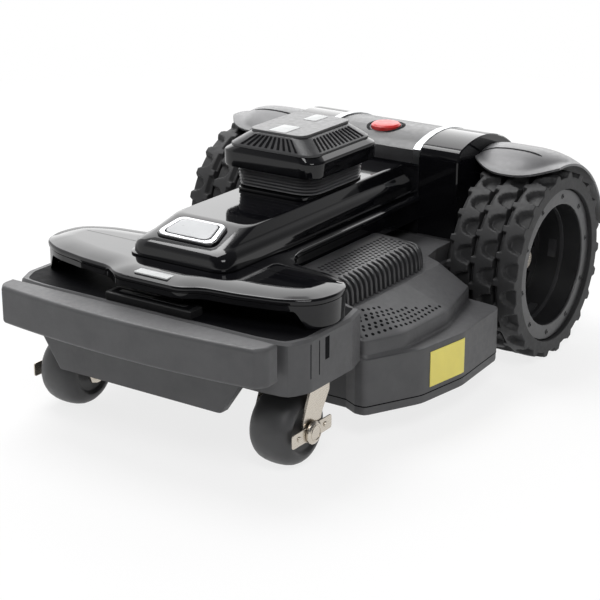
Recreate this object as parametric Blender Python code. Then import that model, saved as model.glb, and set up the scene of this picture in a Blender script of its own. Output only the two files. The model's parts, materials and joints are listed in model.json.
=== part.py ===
"""Robotic lawn mower: two driven rear wheels, two front casters, a lifting cutting unit and a sprung bumper.

Run with: blender --background --python part.py
Metres, +Z up, ground at z = 0. The bumper faces -Y and the driven wheels are at +Y.
Lengths along Y are written from the rear axle; make() shifts them so that the part is centred on the origin.
"""
import math

import bmesh
import bpy
from mathutils import Vector

# Fits and walls
GAP = 0.0003
RUNNING_GAP = 0.0004
WALL = 0.003
MIN_CORNER = 0.0006

# Driven wheels
WHEEL_RADIUS = 0.1225
WHEEL_WIDTH = 0.098
WHEEL_OUTER_X = 0.2555
TREAD_BANDS = 3
TREAD_LUGS = 22
TREAD_DEPTH = 0.0055
TREAD_GROOVE = 0.003
RIM_RADIUS = 0.0998
RIM_OPENING = 0.0797
RIM_RECESS = 0.0083
RIM_RING_THICKNESS = 0.003
DISH_DEPTH = 0.058
DISH_SLOTS = 5
AXLE_RADIUS = 0.009
HUB_RADIUS = 0.026

# Front casters
CASTER_RADIUS = 0.045
CASTER_WIDTH = 0.055
CASTER_X = 0.156
CASTER_TRAIL = 0.019
CASTER_CLEARANCE = 0.079
FORK_THICKNESS = 0.003
FORK_SIDE_GAP = 0.003
CASTER_PIN_RADIUS = 0.006
STEM_RADIUS = 0.008
BEARING_RADIUS = 0.016
SCRAPER_REACH = 0.039

# Cutting deck
DECK_BOTTOM = 0.035
DECK_RIM_HEIGHT = 0.010
DECK_SIDE_TOP = 0.104
DECK_LEDGE_TOP = 0.130
DECK_TOP = 0.150
DECK_HALF_WIDTH = 0.251
DECK_FRONT = -0.374
DECK_REAR = -0.134
DECK_LEDGE = 0.008
FIN_COUNT = 17
FIN_HEIGHT = 0.034
FIN_X = 0.157
FIN_WIDTH = 0.015
FIN_REAR = -0.198

# Front beam, bumper and skirt
BEAM_FRONT = -0.527
BEAM_BOTTOM = 0.104
BEAM_TOP = 0.166
BEAM_HALF_WIDTH = 0.206
BUMPER_HALF_WIDTH = 0.192
BUMPER_DEPTH = 0.031
BUMPER_BOW = 0.012
BOW_SHARES = (0.25, 0.55, 0.80)
BUMPER_BOTTOM = 0.125
BUMPER_TOP = 0.1715
BUMPER_TRAVEL = 0.008
BUMPER_REST_GAP = 0.011
GUIDE_RADIUS = 0.005
GUIDE_X = 0.110
SKIRT_BOTTOM = 0.075
SKIRT_TOP = 0.122
SKIRT_BOTTOM_HALF = 0.118
SKIRT_TOP_HALF = 0.150
SKIRT_DEPTH = 0.0175

# Gloss covers
COVER_TOP = 0.206
COVER_LIP = 0.188
COVER_HALF_WIDTH = 0.207
COVER_FRONT = -0.524
TONGUE_HALF_WIDTH = 0.052
WAIST_HALF_WIDTH = 0.098
SPINE_TOP = 0.242
SPINE_HALF_WIDTH = 0.074
SPINE_FRONT = -0.472
BADGE_LENGTH = 0.042
BADGE_HALF_WIDTH = 0.041

# Cutting unit that slides up through the covers
UNIT_Y = -0.2165
UNIT_HALF_WIDTH = 0.072
UNIT_HALF_LENGTH = 0.0745
UNIT_BOTTOM = 0.2716
UNIT_SHOULDER = 0.2977
UNIT_CAP_TOP = 0.316
UNIT_PLATE_THICKNESS = 0.003
COLUMN_HALF_WIDTH = 0.036
COLUMN_HALF_LENGTH = 0.044
SLEEVE_WALL = 0.005
BELLOWS_RIBS = 6
BELLOWS_HALF_WIDTH = 0.060
BELLOWS_HALF_LENGTH = 0.064
BELLOWS_FOLD = 0.006
COLLAR_HEIGHT = 0.004
MOTOR_RADIUS = 0.045
MOTOR_BOTTOM = 0.060
MOTOR_TOP = 0.1117
BLADE_RADIUS = 0.145
BLADE_Z = 0.044
BLADE_THICKNESS = 0.003
BLADE_ARMS = 4
CUT_TRAVEL = 0.030

# Rear body
HOOD_RADIUS = 0.155
HOOD_HALF_WIDTH = 0.137
HOOD_FRONT = -0.062
HOOD_BOTTOM = 0.152
HOOD_WALL = 0.004
HOOD_REAR_ANGLE = 70.0
STRIP_INNER_X = 0.070
STRIP_WIDTH = 0.010
STRIP_PROUD = 0.0008
FENDER_RADIUS = 0.152
FENDER_EDGE_RADIUS = 0.133
FENDER_WALL = 0.004
FENDER_FRONT_ANGLE = -17.0
FENDER_REAR_ANGLE = 80.0
TUB_BOTTOM = 0.060
BUTTON_Y = -0.014
BUTTON_RADIUS = 0.020
BUTTON_TRAVEL = 0.004
BUTTON_PROUD = 0.004

# Places worked out from the sizes above
AXLE_Z = WHEEL_RADIUS
WHEEL_INNER_X = WHEEL_OUTER_X - WHEEL_WIDTH
CASTER_Y = DECK_FRONT - CASTER_CLEARANCE
CROWN_TOP = 2 * CASTER_RADIUS + 0.008
BUMPER_REAR = BEAM_FRONT - BUMPER_REST_GAP
BUMPER_FACE = BUMPER_REAR - BUMPER_DEPTH
DECK_NECK_REAR = HOOD_FRONT - 0.0022
FRONT_REACH = BUMPER_BOW * (1 - BOW_SHARES[0] ** 2) - BUMPER_FACE
REAR_REACH = FENDER_RADIUS * math.sin(math.radians(FENDER_REAR_ANGLE))
AXLE_Y = (FRONT_REACH - REAR_REACH) / 2
SIDES = (("left", -1), ("right", 1))

FINISHES = {
    "gloss_black": ((0.012, 0.012, 0.014), 0.0, 0.08),
    "body_grey": ((0.075, 0.077, 0.080), 0.0, 0.55),
    "fender_grey": ((0.13, 0.133, 0.137), 0.0, 0.50),
    "dark_plastic": ((0.025, 0.026, 0.028), 0.0, 0.45),
    "tyre_rubber": ((0.030, 0.030, 0.031), 0.0, 0.80),
    "stainless": ((0.62, 0.58, 0.52), 1.0, 0.28),
    "silver_trim": ((0.70, 0.71, 0.73), 1.0, 0.22),
    "chrome": ((0.82, 0.83, 0.85), 1.0, 0.08),
    "stop_red": ((0.72, 0.035, 0.035), 0.0, 0.30),
    "blade_steel": ((0.55, 0.56, 0.58), 1.0, 0.35),
    "circuit_green": ((0.02, 0.16, 0.06), 0.0, 0.50),
}


def finish(name):
    """Principled material for one finish, made once."""
    material = bpy.data.materials.get(name)
    if material:
        return material
    colour, metallic, roughness = FINISHES[name]
    material = bpy.data.materials.new(name)
    material.use_nodes = True
    shader = material.node_tree.nodes["Principled BSDF"]
    shader.inputs["Base Color"].default_value = (*colour, 1.0)
    shader.inputs["Metallic"].default_value = metallic
    shader.inputs["Roughness"].default_value = roughness
    material.diffuse_color = (*colour, 1.0)
    return material


def rounded(points, radii, steps=2):
    """Polygon with each corner turned into a curve of steps + 1 points."""
    outline = []
    for index, point in enumerate(points):
        corner = Vector(point)
        back = Vector(points[index - 1]) - corner
        ahead = Vector(points[(index + 1) % len(points)]) - corner
        reach = radii[index] / math.tan(back.angle(ahead) / 2)
        reach = min(reach, 0.45 * back.length, 0.45 * ahead.length)
        start = corner + back.normalized() * reach
        end = corner + ahead.normalized() * reach
        for step in range(steps + 1):
            share = step / steps
            outline.append(start.lerp(corner, share).lerp(corner.lerp(end, share), share))
    return outline


def mirrored(half):
    """Closed outline from its right half, listed from front to rear."""
    return list(half) + [(-x, y) for x, y in reversed(half)]


def both(radii):
    return list(radii) + list(reversed(radii))


def rectangle(half_x, half_y, centre_y, radius, steps=2):
    corners = [(half_x, centre_y - half_y), (half_x, centre_y + half_y)]
    return Plan(mirrored(corners), [radius] * 4, steps)


class Plan:
    """Closed polygon, counter-clockwise, with a radius for each corner."""

    def __init__(self, points, radii, steps=2):
        self.points = [Vector(point) for point in points]
        self.radii = list(radii)
        self.steps = steps

    def outline(self):
        return rounded(self.points, self.radii, self.steps)

    def inset(self, distance):
        """The same plan with every edge moved inward."""
        points, radii = [], []
        for index, corner in enumerate(self.points):
            arriving = (corner - self.points[index - 1]).normalized()
            leaving = (self.points[(index + 1) % len(self.points)] - corner).normalized()
            first = Vector((-arriving.y, arriving.x))
            second = Vector((-leaving.y, leaving.x))
            mitre = (first + second).normalized()
            points.append(corner + mitre * (distance / mitre.dot(second)))
            turn = arriving.x * leaving.y - arriving.y * leaving.x
            change = -distance if turn > 0 else distance
            radii.append(max(MIN_CORNER, self.radii[index] + change))
        return Plan(points, radii, self.steps)


def loop_at(plan, z):
    """Plan lifted to a height, which may be a function of the point."""
    return [Vector((p.x, p.y, z(p) if callable(z) else z)) for p in plan.outline()]


def loft(loops, ring=False):
    """Skin over equal loops, closed by end caps or back onto the first loop."""
    count = len(loops[0])
    vertices = [point for loop in loops for point in loop]
    faces = []
    last = len(loops) if ring else len(loops) - 1
    for row in range(last):
        first_row = row * count
        next_row = ((row + 1) % len(loops)) * count
        for k in range(count):
            n = (k + 1) % count
            faces.append((first_row + k, first_row + n, next_row + n, next_row + k))
    if not ring:
        faces.append(tuple(reversed(range(count))))
        faces.append(tuple(range((len(loops) - 1) * count, len(loops) * count)))
    return vertices, faces


def solid(levels):
    return loft([loop_at(plan, z) for z, plan in levels])


def shell(levels, wall=WALL):
    """Thin-walled cover: levels run from the open rim to the closed end."""
    outer = [loop_at(plan, z) for z, plan in levels]
    rises = len(levels) > 2 and levels[-1][0] > levels[1][0] or len(levels) == 2 and levels[1][0] > levels[0][0]
    sink = wall if rises else -wall
    inner = [loop_at(levels[0][1].inset(wall), levels[0][0])]
    inner += [loop_at(plan.inset(wall), z - sink) for z, plan in levels[1:]]
    return loft(list(reversed(inner)) + outer)


def band(outer, inner, bottom, top):
    """Closed ring between two outlines and two heights."""
    loops = [loop_at(outer, bottom), loop_at(outer, top), loop_at(inner, top), loop_at(inner, bottom)]
    return loft(loops, ring=True)


def extruded(outline, axis, start, end):
    """Prism along an axis; the outline gives the other two coordinates in X, Y, Z order."""
    place = {
        "X": lambda p, a: Vector((a, p[0], p[1])),
        "Y": lambda p, a: Vector((p[0], a, p[1])),
        "Z": lambda p, a: Vector((p[0], p[1], a)),
    }[axis]
    return loft([[place(p, start) for p in outline], [place(p, end) for p in outline]])


def turned(profile, axis, centre, steps=32):
    """Solid of revolution from a closed (distance along axis, radius) profile."""
    cx, cy, cz = centre
    vertices = []
    rows = []
    for along, radius in profile:
        row = []
        for step in range(steps if radius > 0 else 1):
            angle = 2 * math.pi * step / steps - math.pi / 2
            a = radius * math.cos(angle)
            b = radius * math.sin(angle)
            row.append(len(vertices))
            if axis == "X":
                vertices.append(Vector((cx + along, cy + a, cz + b)))
            elif axis == "Y":
                vertices.append(Vector((cx + a, cy + along, cz + b)))
            else:
                vertices.append(Vector((cx + a, cy + b, cz + along)))
        rows.append(row)
    faces = []
    for index, row in enumerate(rows):
        after = rows[(index + 1) % len(rows)]
        if len(row) == 1 and len(after) == 1:
            continue
        for k in range(steps):
            n = (k + 1) % steps
            corners = [row[k % len(row)], row[n % len(row)], after[n % len(after)], after[k % len(after)]]
            faces.append(tuple(dict.fromkeys(corners)))
    return vertices, faces


def joined(parts):
    """Several separate bodies as one cutter."""
    vertices, faces = [], []
    for some_vertices, some_faces in parts:
        base = len(vertices)
        vertices += some_vertices
        faces += [tuple(base + index for index in face) for face in some_faces]
    return vertices, faces


def object_from(name, body):
    mesh = bpy.data.meshes.new(name)
    mesh.from_pydata([tuple(v) for v in body[0]], [], body[1])
    builder = bmesh.new()
    builder.from_mesh(mesh)
    bmesh.ops.recalc_face_normals(builder, faces=builder.faces)
    builder.to_mesh(mesh)
    builder.free()
    item = bpy.data.objects.new(name, mesh)
    bpy.context.scene.collection.objects.link(item)
    return item


def combine(item, body, operation):
    """Boolean of an object with a tool body; the tool is used up."""
    tool = object_from(item.name + "_tool", body)
    modifier = item.modifiers.new("shape", "BOOLEAN")
    modifier.operation = operation
    modifier.solver = "EXACT"
    modifier.object = tool
    bpy.context.view_layer.update()
    graph = bpy.context.evaluated_depsgraph_get()
    shaped = bpy.data.meshes.new_from_object(item.evaluated_get(graph))
    item.modifiers.clear()
    item.data = shaped
    bpy.data.objects.remove(tool)


def make(name, body, look, cut=None, keep=None, add=None, origin=(0, 0, 0), smooth=35):
    """Named object for one piece, with its material and its origin on its joint."""
    item = object_from(name, body)
    if keep:
        combine(item, keep, "INTERSECT")
    if add:
        combine(item, add, "UNION")
    if cut:
        combine(item, cut, "DIFFERENCE")
    start = Vector(origin)
    for vertex in item.data.vertices:
        vertex.co -= start
    item.location = start + Vector((0, AXLE_Y, 0))
    item.data.materials.clear()
    item.data.materials.append(finish(look))
    item.data.shade_smooth()
    item.data.set_sharp_from_angle(angle=math.radians(smooth))
    return item


def clear_scene():
    for item in list(bpy.data.objects):
        bpy.data.objects.remove(item)


def tyre(side):
    """Three lugged bands with grooves between them, as one ring of rubber."""
    steps_per_lug = 3
    steps = TREAD_LUGS * steps_per_lug
    root = WHEEL_RADIUS - TREAD_DEPTH
    floor = root - 0.004
    chamfer = 0.0025
    bore = RIM_RADIUS + RUNNING_GAP
    band_width = (WHEEL_WIDTH - (TREAD_BANDS - 1) * TREAD_GROOVE) / TREAD_BANDS
    loops = []
    for step in range(steps):
        angle = 2 * math.pi * step / steps - math.pi / 2
        profile = [(WHEEL_INNER_X, bore)]
        for number in range(TREAD_BANDS):
            left = WHEEL_INNER_X + number * (band_width + TREAD_GROOVE)
            phase = (step + number) % steps_per_lug
            crown = WHEEL_RADIUS if phase < 2 else root
            profile += [(left, floor), (left + chamfer, crown)]
            profile += [(left + band_width - chamfer, crown), (left + band_width, floor)]
        profile.append((WHEEL_OUTER_X, bore))
        loop = []
        for x, radius in profile:
            loop.append(Vector((side * x, radius * math.cos(angle), AXLE_Z + radius * math.sin(angle))))
        loops.append(loop)
    return loft(loops, ring=True)


def ring_sector(inner, outer, middle, half_angle, steps=4):
    """Outline of a slot that follows a circle, in the plane across the axle."""
    angles = [middle - half_angle + 2 * half_angle * k / steps for k in range(steps + 1)]
    rim = [(outer * math.cos(a), AXLE_Z + outer * math.sin(a)) for a in angles]
    root = [(inner * math.cos(a), AXLE_Z + inner * math.sin(a)) for a in reversed(angles)]
    return rim + root


def drive_wheel(name, side):
    axle = (0, 0, AXLE_Z)
    face = WHEEL_OUTER_X - RIM_RECESS
    web = face - DISH_DEPTH
    web_back = web - 0.010
    lip = WHEEL_INNER_X + 0.0016
    hub_face = web + 0.010
    make("tyre_" + name, tyre(side), "tyre_rubber", origin=axle, smooth=50)
    profile = [
        (lip, RIM_RADIUS), (face, RIM_RADIUS), (face, RIM_OPENING), (web, RIM_OPENING - 0.004),
        (web, HUB_RADIUS + 0.002), (hub_face, HUB_RADIUS), (hub_face, AXLE_RADIUS + GAP),
        (web_back - 0.006, AXLE_RADIUS + GAP), (web_back - 0.006, HUB_RADIUS), (web_back, HUB_RADIUS + 0.002),
        (web_back, RIM_OPENING), (face - 0.006, RIM_OPENING + 0.004), (face - 0.006, RIM_RADIUS - 0.005),
        (lip, RIM_RADIUS - 0.005),
    ]
    profile = [(side * x, radius) for x, radius in profile]
    slots = []
    for number in range(DISH_SLOTS):
        middle = 2 * math.pi * number / DISH_SLOTS + math.pi / 2
        outline = ring_sector(HUB_RADIUS + 0.014, RIM_OPENING - 0.016, middle, math.radians(20))
        slots.append(extruded(outline, "X", side * (web_back - 0.004), side * (web + 0.004)))
    make("rim_" + name, turned(profile, "X", axle, 32), "dark_plastic", cut=joined(slots), origin=axle)
    ring_back = face + GAP
    ring_front = ring_back + RIM_RING_THICKNESS
    chamfer = 0.001
    ring = [
        (ring_back, RIM_OPENING), (ring_front - chamfer, RIM_OPENING), (ring_front, RIM_OPENING + chamfer),
        (ring_front, RIM_RADIUS - 0.0012), (ring_front - chamfer, RIM_RADIUS - GAP), (ring_back, RIM_RADIUS - GAP),
    ]
    make("rim_ring_" + name, turned([(side * x, r) for x, r in ring], "X", axle, 36), "body_grey", origin=axle)
    nut_start = hub_face + GAP
    shaft = [
        (0.100, 0), (0.100, AXLE_RADIUS), (nut_start, AXLE_RADIUS), (nut_start, 0.017),
        (nut_start + 0.003, 0.017), (nut_start + 0.003, 0.0125), (nut_start + 0.011, 0.0125),
        (nut_start + 0.012, 0.0115), (nut_start + 0.012, 0),
    ]
    make("wheel_shaft_" + name, turned([(side * x, r) for x, r in shaft], "X", axle, 16), "stainless", origin=axle)


def gearmotor(name, side):
    flange = HOOD_HALF_WIDTH - WALL - 0.0008
    bore = AXLE_RADIUS + GAP
    profile = [
        (0.040, 0), (0.040, 0.024), (0.043, 0.027), (0.082, 0.027), (0.084, 0.032), (flange - 0.005, 0.032),
        (flange - 0.005, 0.0285), (flange, 0.0285), (flange, bore), (0.099, bore), (0.099, 0),
    ]
    centre = (0, 0, AXLE_Z)
    make("gearmotor_" + name, turned([(side * x, r) for x, r in profile], "X", centre, 20), "dark_plastic")


def caster(name, side):
    swivel = (side * CASTER_X, CASTER_Y, 0)
    axle_y = CASTER_Y - CASTER_TRAIL
    axle = (side * CASTER_X, axle_y, CASTER_RADIUS)
    arm_inside = CASTER_WIDTH / 2 + FORK_SIDE_GAP
    arm_outside = arm_inside + FORK_THICKNESS
    crown_bottom = CROWN_TOP - 0.004

    half = CASTER_WIDTH / 2
    hub = half - 0.004
    wheel = [
        (-hub, CASTER_PIN_RADIUS + GAP), (-hub, 0.026), (-half, 0.028), (-half, 0.036), (-half + 0.005, 0.0415),
        (-half + 0.012, CASTER_RADIUS - 0.0006), (0, CASTER_RADIUS), (half - 0.012, CASTER_RADIUS - 0.0006),
        (half - 0.005, 0.0415), (half, 0.036), (half, 0.028), (hub, 0.026), (hub, CASTER_PIN_RADIUS + GAP),
    ]
    make("caster_wheel_" + name, turned(wheel, "X", axle, 28), "tyre_rubber", origin=axle)

    channel = [
        (-arm_outside, 0.020), (-arm_inside, 0.020), (-arm_inside, crown_bottom), (arm_inside, crown_bottom),
        (arm_inside, 0.020), (arm_outside, 0.020), (arm_outside, CROWN_TOP), (-arm_outside, CROWN_TOP),
    ]
    channel = [(side * CASTER_X + x, z) for x, z in channel]
    silhouette = [
        (0.018, CROWN_TOP + 0.001), (-0.018, CROWN_TOP + 0.001), (-CASTER_TRAIL - 0.015, 0.062),
        (-CASTER_TRAIL - 0.014, CASTER_RADIUS - 0.013), (-CASTER_TRAIL + 0.013, CASTER_RADIUS - 0.013),
        (-CASTER_TRAIL + 0.022, 0.062), (0.018, 0.084),
    ]
    silhouette = rounded([(CASTER_Y + y, z) for y, z in silhouette], [0.001, 0.001, 0.02, 0.013, 0.013, 0.02, 0.008])
    reach = arm_outside + 0.01
    blank = extruded(silhouette, "X", side * CASTER_X - reach, side * CASTER_X + reach)
    bore = [(-reach, 0), (-reach, CASTER_PIN_RADIUS + GAP), (reach, CASTER_PIN_RADIUS + GAP), (reach, 0)]
    make("caster_fork_" + name, extruded(channel, "Y", CASTER_Y - 0.06, CASTER_Y + 0.04), "stainless",
         keep=blank, cut=turned(bore, "X", axle, 16), origin=swivel)

    stem = [(CROWN_TOP + GAP, 0), (CROWN_TOP + GAP, STEM_RADIUS), (BEAM_TOP - WALL - 0.003, STEM_RADIUS),
            (BEAM_TOP - WALL - 0.003, 0)]
    make("caster_stem_" + name, turned(stem, "Z", swivel, 16), "stainless", origin=swivel)
    bearing = [
        (CROWN_TOP + 0.001, STEM_RADIUS + RUNNING_GAP), (CROWN_TOP + 0.001, BEARING_RADIUS),
        (BEAM_TOP - WALL - GAP, BEARING_RADIUS), (BEAM_TOP - WALL - GAP, STEM_RADIUS + RUNNING_GAP),
    ]
    make("caster_bearing_" + name, turned(bearing, "Z", swivel, 20), "body_grey")

    strip_inside = arm_outside + GAP
    strip_outside = strip_inside + 0.0015
    strip = [(-SCRAPER_REACH, -0.0085), (SCRAPER_REACH, -0.0085), (SCRAPER_REACH, 0.0085), (-SCRAPER_REACH, 0.0085)]
    strip = rounded([(axle_y + y, CASTER_RADIUS + z) for y, z in strip], [0.003] * 4)
    edges = sorted((side * (CASTER_X + strip_inside), side * (CASTER_X + strip_outside)))
    make("caster_scraper_" + name, extruded(strip, "X", *edges), "stainless",
         cut=turned(bore, "X", axle, 16), origin=swivel)
    cap = strip_outside + GAP
    pin = [
        (-arm_outside - 0.003, 0), (-arm_outside - 0.003, 0.009), (-arm_outside - GAP, 0.009),
        (-arm_outside - GAP, CASTER_PIN_RADIUS), (cap, CASTER_PIN_RADIUS), (cap, 0.014), (cap + 0.003, 0.014),
        (cap + 0.005, 0.011), (cap + 0.005, 0),
    ]
    make("caster_axle_" + name, turned([(side * x, r) for x, r in pin], "X", axle, 16), "stainless", origin=swivel)


def deck_outline(drop=0.0):
    """Plan of the deck at its side wall, moved inward by drop."""
    wide = DECK_HALF_WIDTH
    half = [
        (0.172, DECK_FRONT), (0.190, DECK_FRONT - 0.009), (wide - 0.048, DECK_FRONT - 0.009),
        (wide - 0.012, DECK_FRONT + 0.060), (wide, DECK_FRONT + 0.135), (wide - 0.007, DECK_REAR),
        (HOOD_HALF_WIDTH + 0.013, DECK_REAR + 0.006), (HOOD_HALF_WIDTH, DECK_REAR + 0.034),
        (HOOD_HALF_WIDTH, DECK_NECK_REAR),
    ]
    radii = [0.004, 0.004, 0.010, 0.040, 0.060, 0.012, 0.010, 0.006, 0.003]
    return Plan(mirrored(half), both(radii)).inset(drop)


def deck_top_outline():
    """Plan of the flat deck top under the fins and the covers."""
    edge = FIN_X + FIN_WIDTH + 0.004
    front = DECK_FRONT + 0.002
    half = [
        (edge - 0.026, front), (edge - 0.016, front), (edge - 0.006, front), (edge, front + 0.032),
        (edge + 0.002, DECK_FRONT + 0.135), (edge, DECK_REAR - 0.016), (HOOD_HALF_WIDTH, DECK_REAR),
        (HOOD_HALF_WIDTH - 0.006, DECK_REAR + 0.034), (HOOD_HALF_WIDTH - 0.006, DECK_NECK_REAR - 0.001),
    ]
    radii = [0.004, 0.004, 0.004, 0.020, 0.060, 0.012, 0.010, 0.006, 0.003]
    return Plan(mirrored(half), both(radii))


def column_hole(bottom, top):
    half_x = COLUMN_HALF_WIDTH + SLEEVE_WALL + 2 * RUNNING_GAP
    half_y = COLUMN_HALF_LENGTH + SLEEVE_WALL + 2 * RUNNING_GAP
    return extruded(rectangle(half_x, half_y, UNIT_Y, 0.008).outline(), "Z", bottom, top)


def cutting_deck():
    rim_top = DECK_BOTTOM + DECK_RIM_HEIGHT
    levels = [
        (rim_top + GAP, deck_outline()), (DECK_SIDE_TOP, deck_outline()),
        (DECK_SIDE_TOP + 0.003, deck_outline(DECK_LEDGE)), (DECK_LEDGE_TOP - 0.006, deck_outline(DECK_LEDGE + 0.001)),
        (DECK_LEDGE_TOP, deck_outline(DECK_LEDGE + 0.006)), (DECK_TOP, deck_top_outline()),
    ]
    make("cutting_deck", shell(levels), "body_grey", cut=column_hole(DECK_TOP - 0.02, DECK_TOP + 0.01))
    outline = deck_outline()
    make("deck_lower_rim", band(outline, outline.inset(WALL), DECK_BOTTOM, rim_top), "body_grey")


def vents(name, side):
    """Comb of upright fins beside the waist, and the sloping roof above it."""
    front = DECK_FRONT + 0.006
    base = DECK_TOP + GAP
    pitch = (FIN_REAR - front) / (FIN_COUNT - 0.5)
    comb = [(front, base), (FIN_REAR, base)]
    for number in reversed(range(FIN_COUNT)):
        start = front + number * pitch
        comb += [(start + pitch / 2, base + FIN_HEIGHT), (start, base + FIN_HEIGHT)]
        if number:
            comb += [(start, base + 0.003), (start - pitch / 2, base + 0.003)]
    edges = sorted((side * FIN_X, side * (FIN_X + FIN_WIDTH)))
    make("vent_fins_" + name, extruded(comb, "X", *edges), "dark_plastic")
    eave = base + FIN_HEIGHT + GAP
    inner_x = WAIST_HALF_WIDTH + 0.0006
    outer_x = FIN_X + FIN_WIDTH + 0.001
    roof = [(inner_x, eave + 0.010), (outer_x, eave), (outer_x, eave + 0.002), (inner_x, eave + 0.0125)]
    roof = [(side * x, z) for x, z in roof]
    make("vent_roof_" + name, extruded(roof, "Y", DECK_FRONT + 0.046, FIN_REAR + 0.004), "body_grey")


def front_end():
    wide = BEAM_HALF_WIDTH
    rear = DECK_FRONT - 0.0004
    half = [
        (wide - 0.050, BEAM_FRONT), (wide - 0.012, BEAM_FRONT + 0.004), (wide, BEAM_FRONT + 0.030),
        (wide, rear - 0.040), (wide - 0.008, rear - 0.009), (0.190, rear - 0.009), (0.172, rear),
    ]
    outline = Plan(mirrored(half), both([0.03, 0.015, 0.02, 0.02, 0.006, 0.004, 0.004]))
    levels = [(BEAM_BOTTOM, outline), (BEAM_TOP - 0.003, outline), (BEAM_TOP, outline.inset(0.003))]
    guide_z = (BUMPER_BOTTOM + BUMPER_TOP) / 2
    holes = []
    for name, side in SIDES:
        place = (side * GUIDE_X, 0, guide_z)
        clear = GUIDE_RADIUS + RUNNING_GAP
        hole = [(BEAM_FRONT - 0.01, 0), (BEAM_FRONT - 0.01, clear), (BEAM_FRONT + 0.01, clear), (BEAM_FRONT + 0.01, 0)]
        holes.append(turned(hole, "Y", place, 20))
        start = BUMPER_FACE + 0.004 + GAP
        end = BEAM_FRONT + 0.012
        rod = [(start, 0), (start, GUIDE_RADIUS), (end, GUIDE_RADIUS), (end, 0)]
        make("bumper_guide_" + name, turned(rod, "Y", place, 20), "stainless")
    make("front_beam", shell(levels), "body_grey", cut=joined(holes))

    back = BEAM_FRONT - GAP
    depth = back - SKIRT_DEPTH
    low = Plan(mirrored([(SKIRT_BOTTOM_HALF, depth), (SKIRT_BOTTOM_HALF, back)]), [0.004] * 4, 2)
    high = Plan(mirrored([(SKIRT_TOP_HALF, depth), (SKIRT_TOP_HALF, back)]), [0.004] * 4, 2)
    make("front_skirt", shell([(SKIRT_BOTTOM, low), (SKIRT_TOP, high)], 0.0025), "body_grey")

    block_front = BEAM_FRONT + 0.004
    block = rectangle(0.062, 0.012, block_front + 0.012, 0.003, 2)
    block_top = BEAM_TOP + 0.010
    make("contact_block", solid([(BEAM_TOP + GAP, block), (block_top - 0.001, block), (block_top, block.inset(0.001))]),
         "dark_plastic")


def bumper():
    """Bowed bar with a pocket behind it, guided by two rods."""
    wide = BUMPER_HALF_WIDTH
    half = []
    for share in BOW_SHARES:
        half.append((share * (wide - 0.012), BUMPER_FACE - BUMPER_BOW * (1 - share * share)))
    half += [(wide - 0.012, BUMPER_FACE), (wide, BUMPER_REAR)]
    outline = Plan(mirrored(half), both([0.05, 0.05, 0.05, 0.010, 0.002]))
    edge = 0.003
    levels = [
        (BUMPER_BOTTOM, outline.inset(edge)), (BUMPER_BOTTOM + edge, outline), (BUMPER_TOP - edge, outline),
        (BUMPER_TOP, outline.inset(edge)),
    ]
    pocket = []
    for x, y in half[:-1]:
        pocket.append((x * 0.965, max(y, BUMPER_FACE) + 0.004))
    pocket.append((wide - 0.006, BUMPER_REAR + 0.01))
    room = extruded(rounded(mirrored(pocket), both([0.02, 0.02, 0.02, 0.006, 0.001]), 2), "Z",
                    BUMPER_BOTTOM + 0.004, BUMPER_TOP - 0.004)
    make("bumper", solid(levels), "body_grey", cut=room)


def cover_outline():
    """Hammerhead plan: tongue, broad shoulders, coves, then a waist back to the hood."""
    wide = COVER_HALF_WIDTH
    front = COVER_FRONT
    waist = WAIST_HALF_WIDTH
    half = [
        (TONGUE_HALF_WIDTH, front), (TONGUE_HALF_WIDTH + 0.011, front + 0.014), (0.112, front + 0.021),
        (0.166, front + 0.034), (wide - 0.012, front + 0.056), (wide, front + 0.086), (wide - 0.012, front + 0.116),
        (0.165, front + 0.134), (waist + 0.020, front + 0.146), (waist, front + 0.180), (waist, HOOD_FRONT - 0.0005),
    ]
    radii = [0.008, 0.006, 0.05, 0.05, 0.035, 0.035, 0.025, 0.05, 0.03, 0.05, 0.002]
    return Plan(mirrored(half), both(radii))


def cover_rim(point):
    """Bottom edge of the cover: low at the shoulders, raised over the bumper and along the waist."""
    low = BEAM_TOP + RUNNING_GAP
    reach = (COVER_HALF_WIDTH - 0.010 - abs(point.x)) / 0.040
    share = min(1.0, max(0.0, reach))
    share = share * share * (3 - 2 * share)
    return low + (COVER_LIP - low) * share


def body_cover():
    outline = cover_outline()
    rounding = 0.010
    levels = [
        (cover_rim, outline), (COVER_TOP - rounding, outline), (COVER_TOP - 0.0045, outline.inset(0.0016)),
        (COVER_TOP - 0.0014, outline.inset(0.0045)), (COVER_TOP, outline.inset(rounding)),
    ]
    make("body_cover", shell(levels, 0.0028), "gloss_black", cut=column_hole(COVER_TOP - 0.03, COVER_TOP + 0.03))


def spine_outline(half_width, front, radius):
    return Plan(mirrored([(half_width, front), (half_width, HOOD_FRONT - 0.0005)]), [radius, 0.002, 0.002, radius], 3)


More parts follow.
